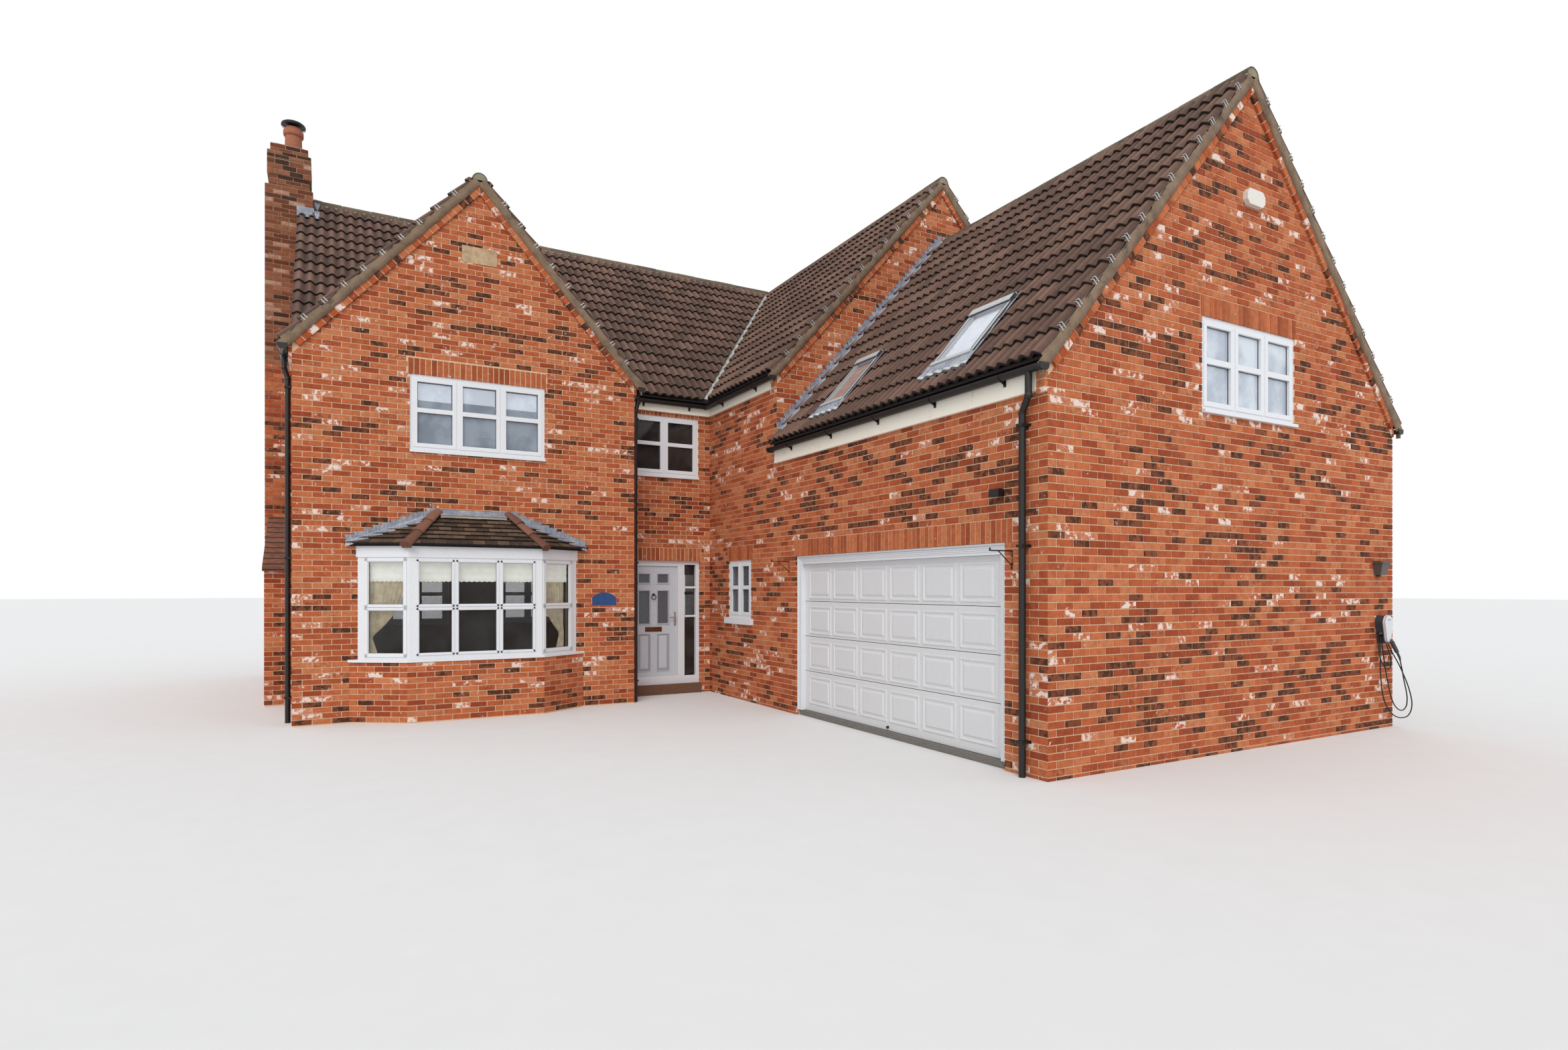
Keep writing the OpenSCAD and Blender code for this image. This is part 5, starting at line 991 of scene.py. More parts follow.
class Slope:
    """A roof slope: a point on its wall line, the direction along it and its pitch."""

    def __init__(self, x, y, ux, uy, plate, pitch, half):
        self.o, self.u, self.half, self.pitch = (x, y), (ux, uy), half, pitch
        self.z = plate + ROOF_T / cos(pitch)
        self.foot = -EAVES / cos(pitch)
        self.head = (half - 0.092) / cos(pitch)

    def at(self, u, s, h):
        """The point u along, s up the slope and h out of it."""
        ux, uy = self.u
        d = s * cos(self.pitch) - h * sin(self.pitch)
        return (self.o[0] + u * ux - d * uy, self.o[1] + u * uy + d * ux,
            self.z + s * sin(self.pitch) + h * cos(self.pitch))

    def tiles(self, b, u0, u1, key, low=None, holes=(), verges="lr"):
        """Double-wave tiles in courses. low(u) gives where a valley starts; holes are (u0, u1, s0, s1)."""
        at, step = self.at, 7
        n = max(1, round((u1 - u0) / TILE_W))
        w = (u1 - u0) / n
        for k in range(ceil((self.head - self.foot) / GAUGE)):
            s0 = self.foot + k * GAUGE
            full = s0 + GAUGE + LAP
            s1 = min(full, self.head)
            if s1 - s0 < 0.02:
                continue
            for i in range(n):
                a, c = u0 + i * w, u0 + (i + 1) * w
                lift = 0.004 * (rand(i, k, key) - 0.5)
                skew = 0.006 * (rand(i, k, key + 9) - 0.5)
                tone = 0.5 + 0.45 * (rand(k, i, key + 4) - 0.5)
                us = [a + (c - a) * j / (2 * step) for j in range(2 * step + 1)]
                us = sorted(us + [x for hole in holes for x in hole[:2] if a < x < c])

                def wave(u, a=a):
                    return sin(2 * pi * (u - a) / w) ** 2

                def top(u, s, lift=lift, s0=s0, full=full):
                    return BASE_H + RISE * (1 - (s - s0) / (full - s0)) + WAVE * wave(u) ** 0.8 + lift
                for p, q in zip(us, us[1:]):
                    if q - p < 1e-5:
                        continue
                    mid = (p + q) / 2
                    # Painted shade darkens the troughs and painted highlight lightens the crests
                    shade = tone + 0.45 * (wave(mid) - 0.55)
                    spans = [(s0 + skew, s1)]
                    for hole in holes:
                        if hole[0] < mid < hole[1]:
                            spans = [x for (x0, x1) in spans for x in ((x0, min(x1, hole[2])), (max(x0, hole[3]), x1))
                                if x[1] - x[0] > 0.004]
                    for (t0, t1) in spans:
                        lo_p = max(t0, low(p)) if low else t0
                        lo_q = max(t0, low(q)) if low else t0
                        if lo_p >= t1 and lo_q >= t1:
                            continue
                        lo_p, lo_q = min(lo_p, t1), min(lo_q, t1)
                        hp, hq = top(p, lo_p), top(q, lo_q)
                        b.face([at(p, lo_p, hp), at(q, lo_q, hq), at(q, t1, top(q, t1)), at(p, t1, top(p, t1))], 0,
                            shade)
                        # Front edge: the tile's own thickness, darker than its face as painted shade, then the gap
                        # below it, near black as painted shade under the lip
                        b.face([at(p, lo_p, hp - EDGE_H), at(q, lo_q, hq - EDGE_H), at(q, lo_q, hq),
                            at(p, lo_p, hp)], 0, tone - 0.3)
                        b.face([at(p, lo_p + 0.004, hp - GAP_H), at(q, lo_q + 0.004, hq - GAP_H),
                            at(q, lo_q, hq - EDGE_H), at(p, lo_p, hp - EDGE_H)], 1, tone)
                        # Side edges at a verge: tile over mortar; the tile's side is darker as painted shade
                        for side, u, t in (("l", p, lo_p), ("r", q, lo_q)):
                            if side in verges and abs(u - (u0 if side == "l" else u1)) < 1e-6:
                                h0, h1 = top(u, t), top(u, t1)
                                edge = [at(u, t, h0), at(u, t1, h1), at(u, t1, h1 - 0.016), at(u, t, h0 - 0.016)]
                                bed = [edge[3], edge[2], at(u, t1, -0.004), at(u, t, -0.004)]
                                turn = -1 if side == "l" else 1
                                b.face(edge[::turn], 0, tone - 0.2)
                                b.face(bed[::turn], 2)

    def clips(self, b, u, out):
        """Two metal prongs over the verge tile at each course; out is +1 or -1, away from the roof."""
        k = 1
        while self.foot + k * GAUGE < self.head - 0.1:
            s = self.foot + k * GAUGE + 0.03
            for d in (0.0, 0.042):
                lo, hi = sorted((u + out * 0.001, u + out * 0.006))
                b.box((lo, s + d, -0.018), (hi, s + d + 0.013, 0.048), self.at)
                lo, hi = sorted((u - out * 0.030, u + out * 0.006))
                b.box((lo, s + d, 0.046), (hi, s + d + 0.013, 0.052), self.at)
            k += 1


def garage_slope():
    """The garage roof's slope over the drive, where the rooflights lie."""
    return Slope(WX, 0, 0, -1, GPLATE, WING_P, HALF)


def roofs():
    """The tiles of the four roofs with the clips at their verges, and the valley linings."""
    gap = 0.105

    # A wing's valley starts where the main roof's face is higher, and the main roof's the other way about
    def wing_low(y):
        d = min(y - RECESS, BACK - y)
        return ((ZM + d * TM - ZW) / TW + gap) / CW if d > -EAVES - 0.1 else -9

    def main_low(x):
        d = min(x, LW - x) if x <= LW + 0.2 else x - WX
        return ((ZW + d * TW - ZM) / TM + gap) / CM if x <= LW + 0.2 or x >= WX - 0.2 else -9

    def rear_low(x):
        return ((ZW + (x - WX) * TW - ZM) / TM + gap) / CM if x >= WX - 0.2 else -9

    def wing_slopes(x0, x1, plate, half):
        return Slope(x0, 0, 0, -1, plate, WING_P, half), Slope(x1, 0, 0, 1, plate, WING_P, half)
    materials = (TILE, TILE_GAP_SHADE, VERGE_MORTAR)
    clips = Build(CLIP)
    b = Build(*materials)
    left, right = wing_slopes(0, LW, PLATE, LW / 2)
    right.tiles(b, -VERGE, 3.55, 1, low=wing_low, verges="l")
    left.tiles(b, -3.55, VERGE, 2, low=lambda u: wing_low(-u), verges="r")
    right.clips(clips, -VERGE, -1)
    left.clips(clips, VERGE, 1)
    b.done("left_wing_tiles", "roof_tile")

    b = Build(*materials)
    left, right = wing_slopes(WX, WR, PLATE, HALF)
    left.tiles(b, -BACK - VERGE, -GABLE_Y + VERGE, 3, low=lambda u: wing_low(-u))
    right.tiles(b, GABLE_Y - VERGE, BACK + VERGE, 4)
    left.clips(clips, -GABLE_Y + VERGE, 1)
    right.clips(clips, GABLE_Y - VERGE, -1)
    b.done("tall_wing_tiles", "roof_tile")

    b = Build(*materials)
    s0 = (4.0 - RECESS) / CM - 0.09
    front = Slope(0, RECESS, 1, 0, PLATE, MAIN_P, RIDGE_Y - RECESS)
    front.tiles(b, -VERGE, WRX, 5, low=main_low, holes=[(-0.1, STACK_X1, s0, 9)], verges="l")
    rear = Slope(0, BACK, -1, 0, PLATE, MAIN_P, RIDGE_Y - RECESS)
    rear.tiles(b, -WRX, VERGE, 6, low=lambda u: rear_low(-u), holes=[(-STACK_X1, 0.1, s0, 9)], verges="r")
    b.done("main_roof_tiles", "roof_tile")

    b = Build(*materials)
    left, right = wing_slopes(WX, WR, GPLATE, HALF)
    holes = [(y - 0.030, y + w + 0.032, LIGHT_S - 0.24, LIGHT_S + 1.03) for y, w in ROOFLIGHTS]
    left.tiles(b, -GABLE_Y, -GARAGE_Y + VERGE, 7, holes=holes, verges="r")
    right.tiles(b, GARAGE_Y - VERGE, GABLE_Y, 8, verges="l")
    left.clips(clips, -GARAGE_Y + VERGE, 1)
    right.clips(clips, GARAGE_Y - VERGE, -1)
    b.done("garage_roof_tiles", "roof_tile")
    clips.done("verge_clips", "grey_metal")

    # Valley linings: two strips a valley, one on each roof, with a welt along the tiles
    b = Build(LINING)
    for x0, sx, y0, sy, run in ((LW, -1, RECESS, 1, LW / 2), (0, 1, RECESS, 1, LW / 2), (WX, 1, RECESS, 1, HALF),
            (WX, 1, BACK, -1, HALF)):
        rows = []
        for i in range(17):
            dx = -0.06 + (run - 0.02) * i / 16
            dy = (ZW + dx * TW - ZM) / TM
            zm, zw, g = PLATE + ZM + dy * TM, PLATE + ZW + dx * TW, 0.150
            pts = [(dx - g, dy, zm + 0.020), (dx - g + 0.012, dy, zm + 0.010), (dx, dy, zm + 0.004),
                (dx, dy - g + 0.012, zw + 0.010), (dx, dy - g, zw + 0.020)]
            rows.append([(x0 + sx * p, y0 + sy * q, z) for p, q, z in pts])
        b.strips(rows)
    b.done("valley_linings", "grey_metal")


def ridges():
    """Half-round ridge tiles in 450 mm lengths on mortar."""
    b = Build(RIDGE, TOP_MORTAR)
    for (c, half, plate, pitch, p0, p1, axis, ends) in (
            (LRX, LW / 2, PLATE, WING_P, -VERGE, 3.52, "y", "a"),
            (WRX, HALF, PLATE, WING_P, GABLE_Y - VERGE, BACK + VERGE, "y", "ab"),
            (RIDGE_Y, RIDGE_Y - RECESS, PLATE, MAIN_P, STACK_X1, 9.40, "x", ""),
            (WRX, HALF, GPLATE, WING_P, GARAGE_Y - VERGE, GABLE_Y, "y", "a")):
        base = plate + ROOF_T / cos(pitch) + (half - BED_R) * tan(pitch) + BED_H

        def ring(t, r, z):
            out = []
            for j in range(15):
                d, h = r * cos(pi * j / 14), r * sin(pi * j / 14)
                out.append((t, c + d, z + h) if axis == "x" else (c - d, t, z + h))
            return out
        n = round((p1 - p0) / 0.45)
        w = (p1 - p0) / n
        for i in range(n):
            a, e = p0 + i * w, p0 + (i + 1) * w
            z = base + 0.006 * (rand(i, c, 3.0) - 0.5)
            g = 0.007
            rows = [ring(t, r, z) for t, r in ((a + (g if i else 0), 0.097), (a + (g if i else 0), 0.106),
                (a + 0.012 + g, 0.109), (e - 0.012 - g, 0.109), (e - g, 0.106), (e - g, 0.097))]
            b.grid(rows, 0, 0.5 + 0.9 * (rand(i, c, half) - 0.5))
            b.grid([ring(a - 0.006, 0.100, base), ring(a + 0.012, 0.100, base)], 1)
        for which, t in (("a", p0 + 0.004), ("b", p1 - 0.004)):
            if which in ends:
                b.face(ring(t, 0.100, base), 1)
        # Mortar under both edges, down into the tiles' waves
        for side in (-1, 1):
            for k in range(ceil((p1 - p0) / 0.075)):
                t0, t1 = p0 + k * 0.075, min(p1, p0 + (k + 1) * 0.075)
                out = 0.110 + 0.014 * rand(k, c, side + 3)
                pts = []
                for t in (t0, t1):
                    for (d, dz) in ((out + 0.012, -0.055), (out, 0.004), (0.09, 0.016)):
                        pts.append((t, c + side * d, base + dz) if axis == "x" else (c + side * d, t, base + dz))
                b.strips([pts[:3], pts[3:]], 1)
                b.face(pts[:3], 1)
                b.face(pts[3:], 1)
    b.done("ridge_tile_lengths", "roof_tile", replaces=("ridge_tiles",))


def bay_tiles():
    """Plain tiles in courses on the bay's three slopes, with hip tiles over the joints."""
    b = Build(PLAIN_TILE, HIP_TILE, TILE_GAP_SHADE, PALE_MORTAR)
    plan = [Vector((x, y, BAY_Z + 0.004)) for x, y in bay_plan(-BAY_OUT - 0.02)]
    z1 = BAY_Z + BAY_RISE
    tl, tr = Vector((BAY_C - BAY_TOP, 0, z1)), Vector((BAY_C + BAY_TOP, 0, z1))
    for f, quad in enumerate(([plan[0], plan[1], tl], [plan[1], plan[2], tr, tl], [plan[2], plan[3], tr])):
        u = (quad[1] - quad[0]).normalized()
        n = u.cross(quad[-1] - quad[0]).normalized()
        n = -n if n.z < 0 else n
        v = n.cross(u)
        o = quad[0]
        flat = [((q - o).dot(u), (q - o).dot(v)) for q in quad]
        gauge = max(q[1] for q in flat) / 7
        for k in range(7):
            s0, s1 = k * gauge - (0.02 if k == 0 else 0), (k + 1) * gauge + 0.004
            start = (0.0825 if k % 2 else 0.0) - 0.165
            i = 0
            while start + i * 0.165 < flat[1][0] + 0.1:
                a, c = start + i * 0.165 + 0.002, start + (i + 1) * 0.165 - 0.002
                i += 1
                drop = 0.006 * (rand(i, k, f + 11) - 0.5)
                q = [(a, s0 + drop), (c, s0 + drop), (c, s1), (a, s1)]
                for j in range(1, len(flat)):
                    p, r = flat[j], flat[(j + 1) % len(flat)]
                    na, nb = p[1] - r[1], r[0] - p[0]
                    q = clip(q, na, nb, na * p[0] + nb * p[1])
                    if len(q) < 3:
                        break
                if len(q) < 3 or area(q) < 2e-4:
                    continue
                tone = 0.5 + 0.9 * (rand(i, k, f + 20) - 0.5)
                lift = 0.005 * rand(i, k, f + 31)

                def high(s):
                    return 0.006 + 0.024 * (1 - (s - s0) / (s1 - s0)) + lift
                b.face([tuple(o + u * x + v * y + n * high(y)) for x, y in q], 0, tone)
                # Front edge: darker than the tile as painted shade, then a near-black strip of painted shade under the
                # lip
                low = sorted(t for t in q if t[1] < s0 + drop + 1e-5)
                if len(low) == 2:
                    for h0, h1, mat in ((high(s0) - 0.009, high(s0), 0), (-0.004, high(s0) - 0.009, 2)):
                        b.face([tuple(o + u * x + v * y + n * d) for (x, y), d in ((low[0], h0), (low[1], h0),
                            (low[1], h1), (low[0], h1))], mat, tone - 0.3)
    for foot, head in ((plan[1], tl), (plan[2], tr)):
        way = head + Vector((0, 0, 0.06)) - foot
        long = way.length
        way.normalize()
        side = way.cross(Vector((0, 0, 1))).normalized()
        up = side.cross(way).normalized()
        for i in range(3):
            a, e = i * long / 3 - (0.04 if i == 0 else 0.0), (i + 1) * long / 3 + 0.012
            rows = []
            for t, r, h in ((a, 0.078, -0.012), (a, 0.094, -0.008), (a + 0.02, 0.096, -0.006), (e, 0.078, -0.016)):
                rows.append([foot + way * t + side * (r * cos(pi * j / 12))
                    + up * (h + r * 0.68 * sin(pi * j / 12)) for j in range(13)])
            b.grid(rows, 1, 0.5 + 0.9 * (rand(i, foot.x) - 0.5))
            b.face(rows[0] + [foot + way * a + side * t - up * 0.05 for t in (-0.078, 0.078)], 1, 0.2)
    # Mortar fillet over the top course, under the lead
    b.box((BAY_C - BAY_TOP + 0.04, -0.075, z1 - 0.035), (BAY_C + BAY_TOP - 0.04, -0.003, z1 + 0.012), mat=3)
    b.done("bay_roof_tiles", "roof_tile")


# A lead tooth's front and the two edges of it that show
TOOTH = [(0, 1, 2, 3, 4), (3, 2, 7, 8), (4, 3, 8, 9)]


def gable_lead(b):
    """Garage roof against the tall gable: a leaning tooth for each course, and a cover on the tiles."""
    low = GPLATE + ZW
    for side in (-1, 1):
        def wall(x, z, d, side=side):
            return (WRX + side * (HALF - x), GABLE_Y - d, z)
        step = COURSE / TW
        for i in range(int((HALF - 0.02) / step)):
            a, e = i * step, (i + 1) * step
            z = course_top(low + a * TW + 0.150, RIGHT_BED)
            lean, d = 0.020 + 0.022 * rand(i, side, 3), 0.009 + 0.003 * (i % 2)
            flat = [(a, low + a * TW - 0.02), (e, low + e * TW - 0.02), (e + 0.004, z - 0.002), (a - lean, z),
                (a - 0.004, z - COURSE + 0.012)]
            front, back = ([wall(x, h, out) for x, h in flat] for out in (d, -0.001))
            front[3] = wall(a - lean, z + 0.004 * (rand(i, side) - 0.5), d + 0.004)
            b.mesh(front + back, TOOTH, flip=side > 0)
        rows = []
        for i in range(61):
            x = (HALF - 0.1) * i / 60
            z = low + x * TW
            dent = 0.010 * blur(x * 7, side, 0)
            rows.append([(WRX + side * (x - HALF), GABLE_Y - d, z + h) for d, h in ((0.004, 0.100),
                (0.125 + dent, 0.082 + dent), (0.150 + dent, 0.050))])
        b.strips(rows)


def bay_lead(b):
    """Bay roof against the front wall: teeth and cover up both sides, and a sheet along the top."""
    slope = BAY_RISE / (BAY_END - BAY_TOP)
    ramp = slope / tan(CANT)
    for side in (-1, 1):
        def spot(x, d, z, side=side):
            return (BAY_C + side * x, -d, z)
        n = 10
        for i in range(n):
            a, e = (BAY_END + 0.02 - (BAY_END + 0.02 - BAY_TOP) * k / n for k in (i, i + 1))
            za, ze = BAY_Z + (BAY_END - a) * slope, BAY_Z + (BAY_END - e) * slope
            top = ze + 0.092 + 0.012 * rand(i, side, 2)
            front = [spot(a, 0.012, za + 0.01), spot(e, 0.012, ze + 0.01), spot(e, 0.013, top),
                spot(a + 0.030, 0.017, top - 0.010), spot(a + 0.004, 0.013, za + 0.055)]
            b.mesh(front + [(p[0], 0.001, p[2]) for p in front], TOOTH, flip=side > 0)
        rows = []
        for k in range(19):
            x = BAY_END + 0.040 - (BAY_END + 0.040 - BAY_TOP) * k / 18
            z = BAY_Z + (BAY_END - x) * slope
            dent = 0.008 * blur(x * 9, side * 4, 1)
            rows.append([spot(x, d, z - d * ramp + up + dent * d * 6) for d, up in ((0.004, 0.066), (0.026, 0.050),
                (0.078 + dent, 0.044), (0.084 + dent, 0.024))])
        b.strips(rows)
    b.box((BAY_C - BAY_TOP - 0.02, -0.013, 2.845), (BAY_C + BAY_TOP + 0.02, 0, 2.925))
    b.up([(BAY_C - BAY_TOP, -0.004, 2.895), (BAY_C + BAY_TOP, -0.004, 2.895), (BAY_C + BAY_TOP, -0.090, 2.842),
        (BAY_C - BAY_TOP, -0.090, 2.842)])


def rooflight_lead(b):
    """Aprons and side soakers of the rooflights, drawn up the slope."""
    s, x = garage_slope(), LIGHT_S
    for y, w in ROOFLIGHTS:
        n = 30
        for i in range(n):
            u0, u1 = (y - 0.08 + (w + 0.16) * k / n for k in (i, i + 1))
            h0, h1 = (0.040 + 0.022 * sin(pi * u / 0.15) ** 2 for u in (u0, u1))
            s0, s1 = (x - 0.215 - 0.025 * blur(u * 5, y, 2) for u in (u0, u1))
            b.mesh([s.at(u0, s0, h0 + 0.014), s.at(u1, s1, h1 + 0.014), s.at(u1, x + 0.004, 0.066),
                s.at(u0, x + 0.004, 0.066), s.at(u0, s0, h0 - 0.02), s.at(u1, s1, h1 - 0.02)],
                [(0, 1, 2, 3), (4, 5, 1, 0)])
            # The apron's lower edge has weathered pale
            b.face([s.at(u0, s0 + 0.002, h0 + 0.017), s.at(u1, s1 + 0.002, h1 + 0.017),
                s.at(u1, s1 + 0.045, h1 + 0.0165), s.at(u0, s0 + 0.045, h0 + 0.0165)], 1)
        for a, e in ((y - 0.075, y + 0.002), (y + w - 0.002, y + w + 0.075)):
            b.up([s.at(a, x - 0.02, 0.048), s.at(e, x - 0.02, 0.058), s.at(e, x + 1.03, 0.058),
                s.at(a, x + 1.03, 0.048)])
        a, e = y - 0.075, y + w + 0.075
        b.up([s.at(a, x + 0.98, 0.05), s.at(e, x + 0.98, 0.05), s.at(e, x + 1.06, 0.030), s.at(a, x + 1.06, 0.030)])


def stack_lead(b):
    """Round the stack: stepped cover up its right face, an apron in front and a saddle behind."""
    for side in (-1, 1):
        y0 = RIDGE_Y + side * STACK_HALF
        z0 = PLATE + ZM + (RIDGE_Y - RECESS - STACK_HALF) * TM
        for i in range(6):
            a, e = (STACK_HALF * k / 6 for k in (i, i + 1))
            z = PLATE + ZM + (RIDGE_Y - RECESS - STACK_HALF + a) * TM
            ya, ye, rise = y0 - side * a, y0 - side * e, (e - a) * TM
            top = course_top(z + 0.12, LEFT_BED)
            b.mesh([(0.192, ya, z), (0.192, ye, z + 0.07), (0.192, ye, top), (0.194, ya, top)], [(0, 1, 2, 3)],
                int(i % 3 == 1), flip=side > 0)
            b.up([(0.190, ya, z + 0.06), (0.190, ye, z + 0.06 + rise), (0.32, ye, z + 0.05 + rise),
                (0.32, ya, z + 0.05)])
        y = y0 + side * 0.012
        b.mesh([(-0.06, y, z0), (0.20, y, z0), (0.20, y, z0 + 0.14), (-0.06, y, z0 + 0.14)], [(0, 1, 2, 3)],
            flip=side > 0)
        near, far = y0 + side * 0.010, y0 + side * 0.16
        b.up([(-0.055, near, z0 + 0.060), (0.30, near, z0 + 0.060), (0.30, far, z0 - 0.085),
            (-0.055, far, z0 - 0.085)])


def leadwork():
    """All the lead sheets, in one piece."""
    b = Build(LEAD, LINING)
    gable_lead(b)
    bay_lead(b)
    rooflight_lead(b)
    stack_lead(b)
    b.done("lead_sheets", "lead", replaces=("lead_flashings",))


# Windows: panes with their gaskets, and what hangs behind them

def lights(w, h, n):
    """The clear openings of a window's lights as (u0, u1, v0, v1), lower row first."""
    pitch = (w - 2 * FRAME_W - (n - 1) * FRAME_W) / n
    rail = h * 0.53
    out = []
    for v0, v1 in ((FRAME_W + SASH_W, rail - FRAME_W / 2), (rail + FRAME_W / 2, h - FRAME_W - SASH_W)):
        for i in range(n):
            u = FRAME_W + i * (pitch + FRAME_W) + SASH_W
            out.append((u, u + pitch - 2 * SASH_W, v0, v1))
    return out


def grown(rect, by):
    """A rectangle with each edge moved out."""
    a, c, lo, hi = rect
    return (a - by, c + by, lo - by, hi + by)


def frame_strips(b, at, rect, wide, d0, d1, mat=0):
    """Four strips inside a rectangle's edge, from depth d0 to d1."""
    a, c, lo, hi = rect
    for u0, u1, v0, v1 in ((a, c, lo, lo + wide), (a, c, hi - wide, hi), (a, a + wide, lo, hi), (c - wide, c, lo, hi)):
        b.box((u0, v0, d0), (u1, v1, d1), at, mat)


# The bay's lights along each of its faces, and the heights of their two rows
BAY_LIGHTS = ([(0.154, 0.641)], [(0.130, 0.5457), (0.6317, 1.1343), (1.2203, 1.636)], [(0.071, 0.558)])
BAY_ROWS = ((0.936, 1.515), (1.596, 2.173))


def bay_walls(t):
    """The bay's three faces as walls, moved in by t, with the shift of their left ends along them."""
    outer, plan = bay_plan(0.0), bay_plan(t)
    out = []
    for i in range(3):
        p, q, o = plan[i], plan[i + 1], outer[i]
        d = hypot(q[0] - p[0], q[1] - p[1])
        u = ((q[0] - p[0]) / d, (q[1] - p[1]) / d)
        out.append((Wall(None, p[0], p[1], *u), (p[0] - o[0]) * u[0] + (p[1] - o[1]) * u[1], d))
    return out


def glazing():
    """Panes and gaskets of every window, and the covers of the rooflights."""
    gaskets, rims = Build(GASKET, WHITE), Build(SILVER, SLATE)
    clear, dim, sky, milky = Build(CLEAR), Build(ROOM_SHADE_GLASS), Build(SKY_REFLECTION_GLASS), Build(MILKY)
    bay, top = Build(BAY_GLASS), Build(ROOF_GLASS)
    seats = [(milky, Wall(None, 0, 0, 1, 0), LEFT_WINDOW, 3), (dim, Wall(None, 0, RECESS, 1, 0), ENTRY_WINDOW, 2),
        (sky, Wall(None, 0, GARAGE_Y, 1, 0), GARAGE_WINDOW, 3), (clear, wing_wall(None), CLOAK, 2)]
    seats += [(milky, Wall(None, WR, BACK, -1, 0), x, 2 if x[1] < 1.5 else 3) for x in BACK_WINDOWS]
    for b, w, (x, wide, z, h), n in seats:
        def at(u, v, d, w=w, x=x, z=z):
            return w.at(x + u, z + v, d - REVEAL)
        b.box((0.088, 0.088, -0.036), (wide - 0.088, h - 0.088, -0.030), at)
        for rect in lights(wide, h, n):
            frame_strips(gaskets, at, rect, 0.005, -0.030, -0.024)
            # The inner pane's spacer bar shows as a grey line
            frame_strips(gaskets, at, grown(rect, -0.003), 0.008, -0.058, -0.044)
    for (w, shift, _), row in zip(bay_walls(0.035), BAY_LIGHTS):
        for a, c in row:
            for lo, hi in BAY_ROWS:
                bay.box((a - shift - 0.008, lo - 0.008, -0.003), (c - shift + 0.008, hi + 0.008, 0.003), w.at)
    for i, (w, _, _) in enumerate(bay_walls(0.0)):
        for a, c in BAY_LIGHTS[i]:
            for lo, hi in BAY_ROWS:
                rect = (a, c, lo, hi)
                frame_strips(gaskets, w.at, rect, 0.005, -0.031, -0.026)
                # Sash and bead: two steps in white around each light
                rim = 0.030 if i == 1 else 0.046
                frame_strips(gaskets, w.at, grown(rect, rim), rim - 0.008, -0.002, 0.011, 1)
                frame_strips(gaskets, w.at, grown(rect, 0.010), 0.012, -0.022, 0.004, 1)
    # Side light by the door, and the rooflights
    dim.box((5.860, 0.310, -0.089), (6.020, 2.205, -0.083), Wall(None, 0, RECESS, 1, 0).at)
    s, x = garage_slope(), LIGHT_S
    for y, wide in ROOFLIGHTS:
        end = y + wide
        frame_strips(gaskets, s.at, (y + 0.040, end - 0.040, x + 0.042, x + 0.938), 0.012, 0.060, 0.067)
        frame_strips(rims, s.at, (y - 0.006, end + 0.006, x - 0.006, x + 0.986), 0.012, 0.006, 0.060, 1)
        # Bars as (u0, u1, s0, s1, h0, h1, material): two at the near side, the sill's three, the top cover's three
        for u0, u1, s0, s1, h0, h1, mat in (
                (end + 0.006, end + 0.014, -0.004, 0.960, 0.004, 0.050, 1),
                (end + 0.024, end + 0.032, -0.004, 0.960, 0.004, 0.032, 1),
                (y - 0.004, end + 0.004, -0.012, 0.044, 0.030, 0.082, 0),
                (y - 0.002, end + 0.002, -0.016, -0.010, 0.020, 0.050, 1),
                (y + 0.010, end - 0.010, 0.046, 0.054, 0.066, 0.074, 1),
                (y - 0.008, end + 0.004, 0.880, 0.986, 0.030, 0.088, 0),
                (end + 0.004, end + 0.014, 0.878, 0.988, 0.028, 0.090, 1),
                (y + 0.010, end - 0.010, 0.872, 0.880, 0.066, 0.078, 1)):
            rims.box((u0, x + s0, h0), (u1, x + s1, h1), s.at, mat)
        top.box((y + 0.058, x + 0.058, 0.042), (end - 0.058, x + 0.922, 0.047), s.at)
    milky.done("window_panes", "glass", replaces=("window_glass",))
    clear.done("cloakroom_panes", "glass")
    bay.done("bay_panes", "glass")
    dim.done("entrance_panes", "glass")
    sky.done("garage_window_panes", "glass")
    top.done("rooflight_panes", "glass")
    rims.done("rooflight_covers", "grey_metal")
    gaskets.done("window_gaskets", "black_plastic")


def length(line):
    """Length of a line through points."""
    return sum((Vector(p) - Vector(q)).length for p, q in zip(line, line[1:]))


def cloth(name, rows, mat):
    """A sheet through rows of points, each row from side to side."""
    b = Build(mat)
    b.grid(rows, smooth=True)
    obj = b.done(name)
    flat = (max(length(r) for r in rows), max(length(column) for column in zip(*rows)))
    size, whole = sum(f.area for f in obj.data.polygons), flat[0] * flat[1]
    max(min(size, whole), 0.31 * whole)


def bay_blinds():
    """Cream blinds with a scalloped hem over the bay's upper lights."""
    for i, (w, shift, _) in enumerate(bay_walls(0.086)):
        for j, (a, c) in enumerate(BAY_LIGHTS[i]):
            a, c = a - shift - 0.02, c - shift + 0.02
            n = 48
            rows = []
            for k in range(15):
                f = k / 14
                row = []
                for q in range(n + 1):
                    u = a + (c - a) * q / n
                    hem = 0.012 * abs(sin(pi * 8 * q / n)) * max(0.0, (f - 0.9) / 0.1)
                    fold = 0.010 * sin(f * pi * 3) ** 2 + 0.004 * blur(u * 5, f * 3, i + j)
                    row.append(w.at(u, 2.205 - 0.305 * f + hem, fold))
                rows.append(row)
            cloth(f"bay_blind_{i}_{j}", rows, CREAM)


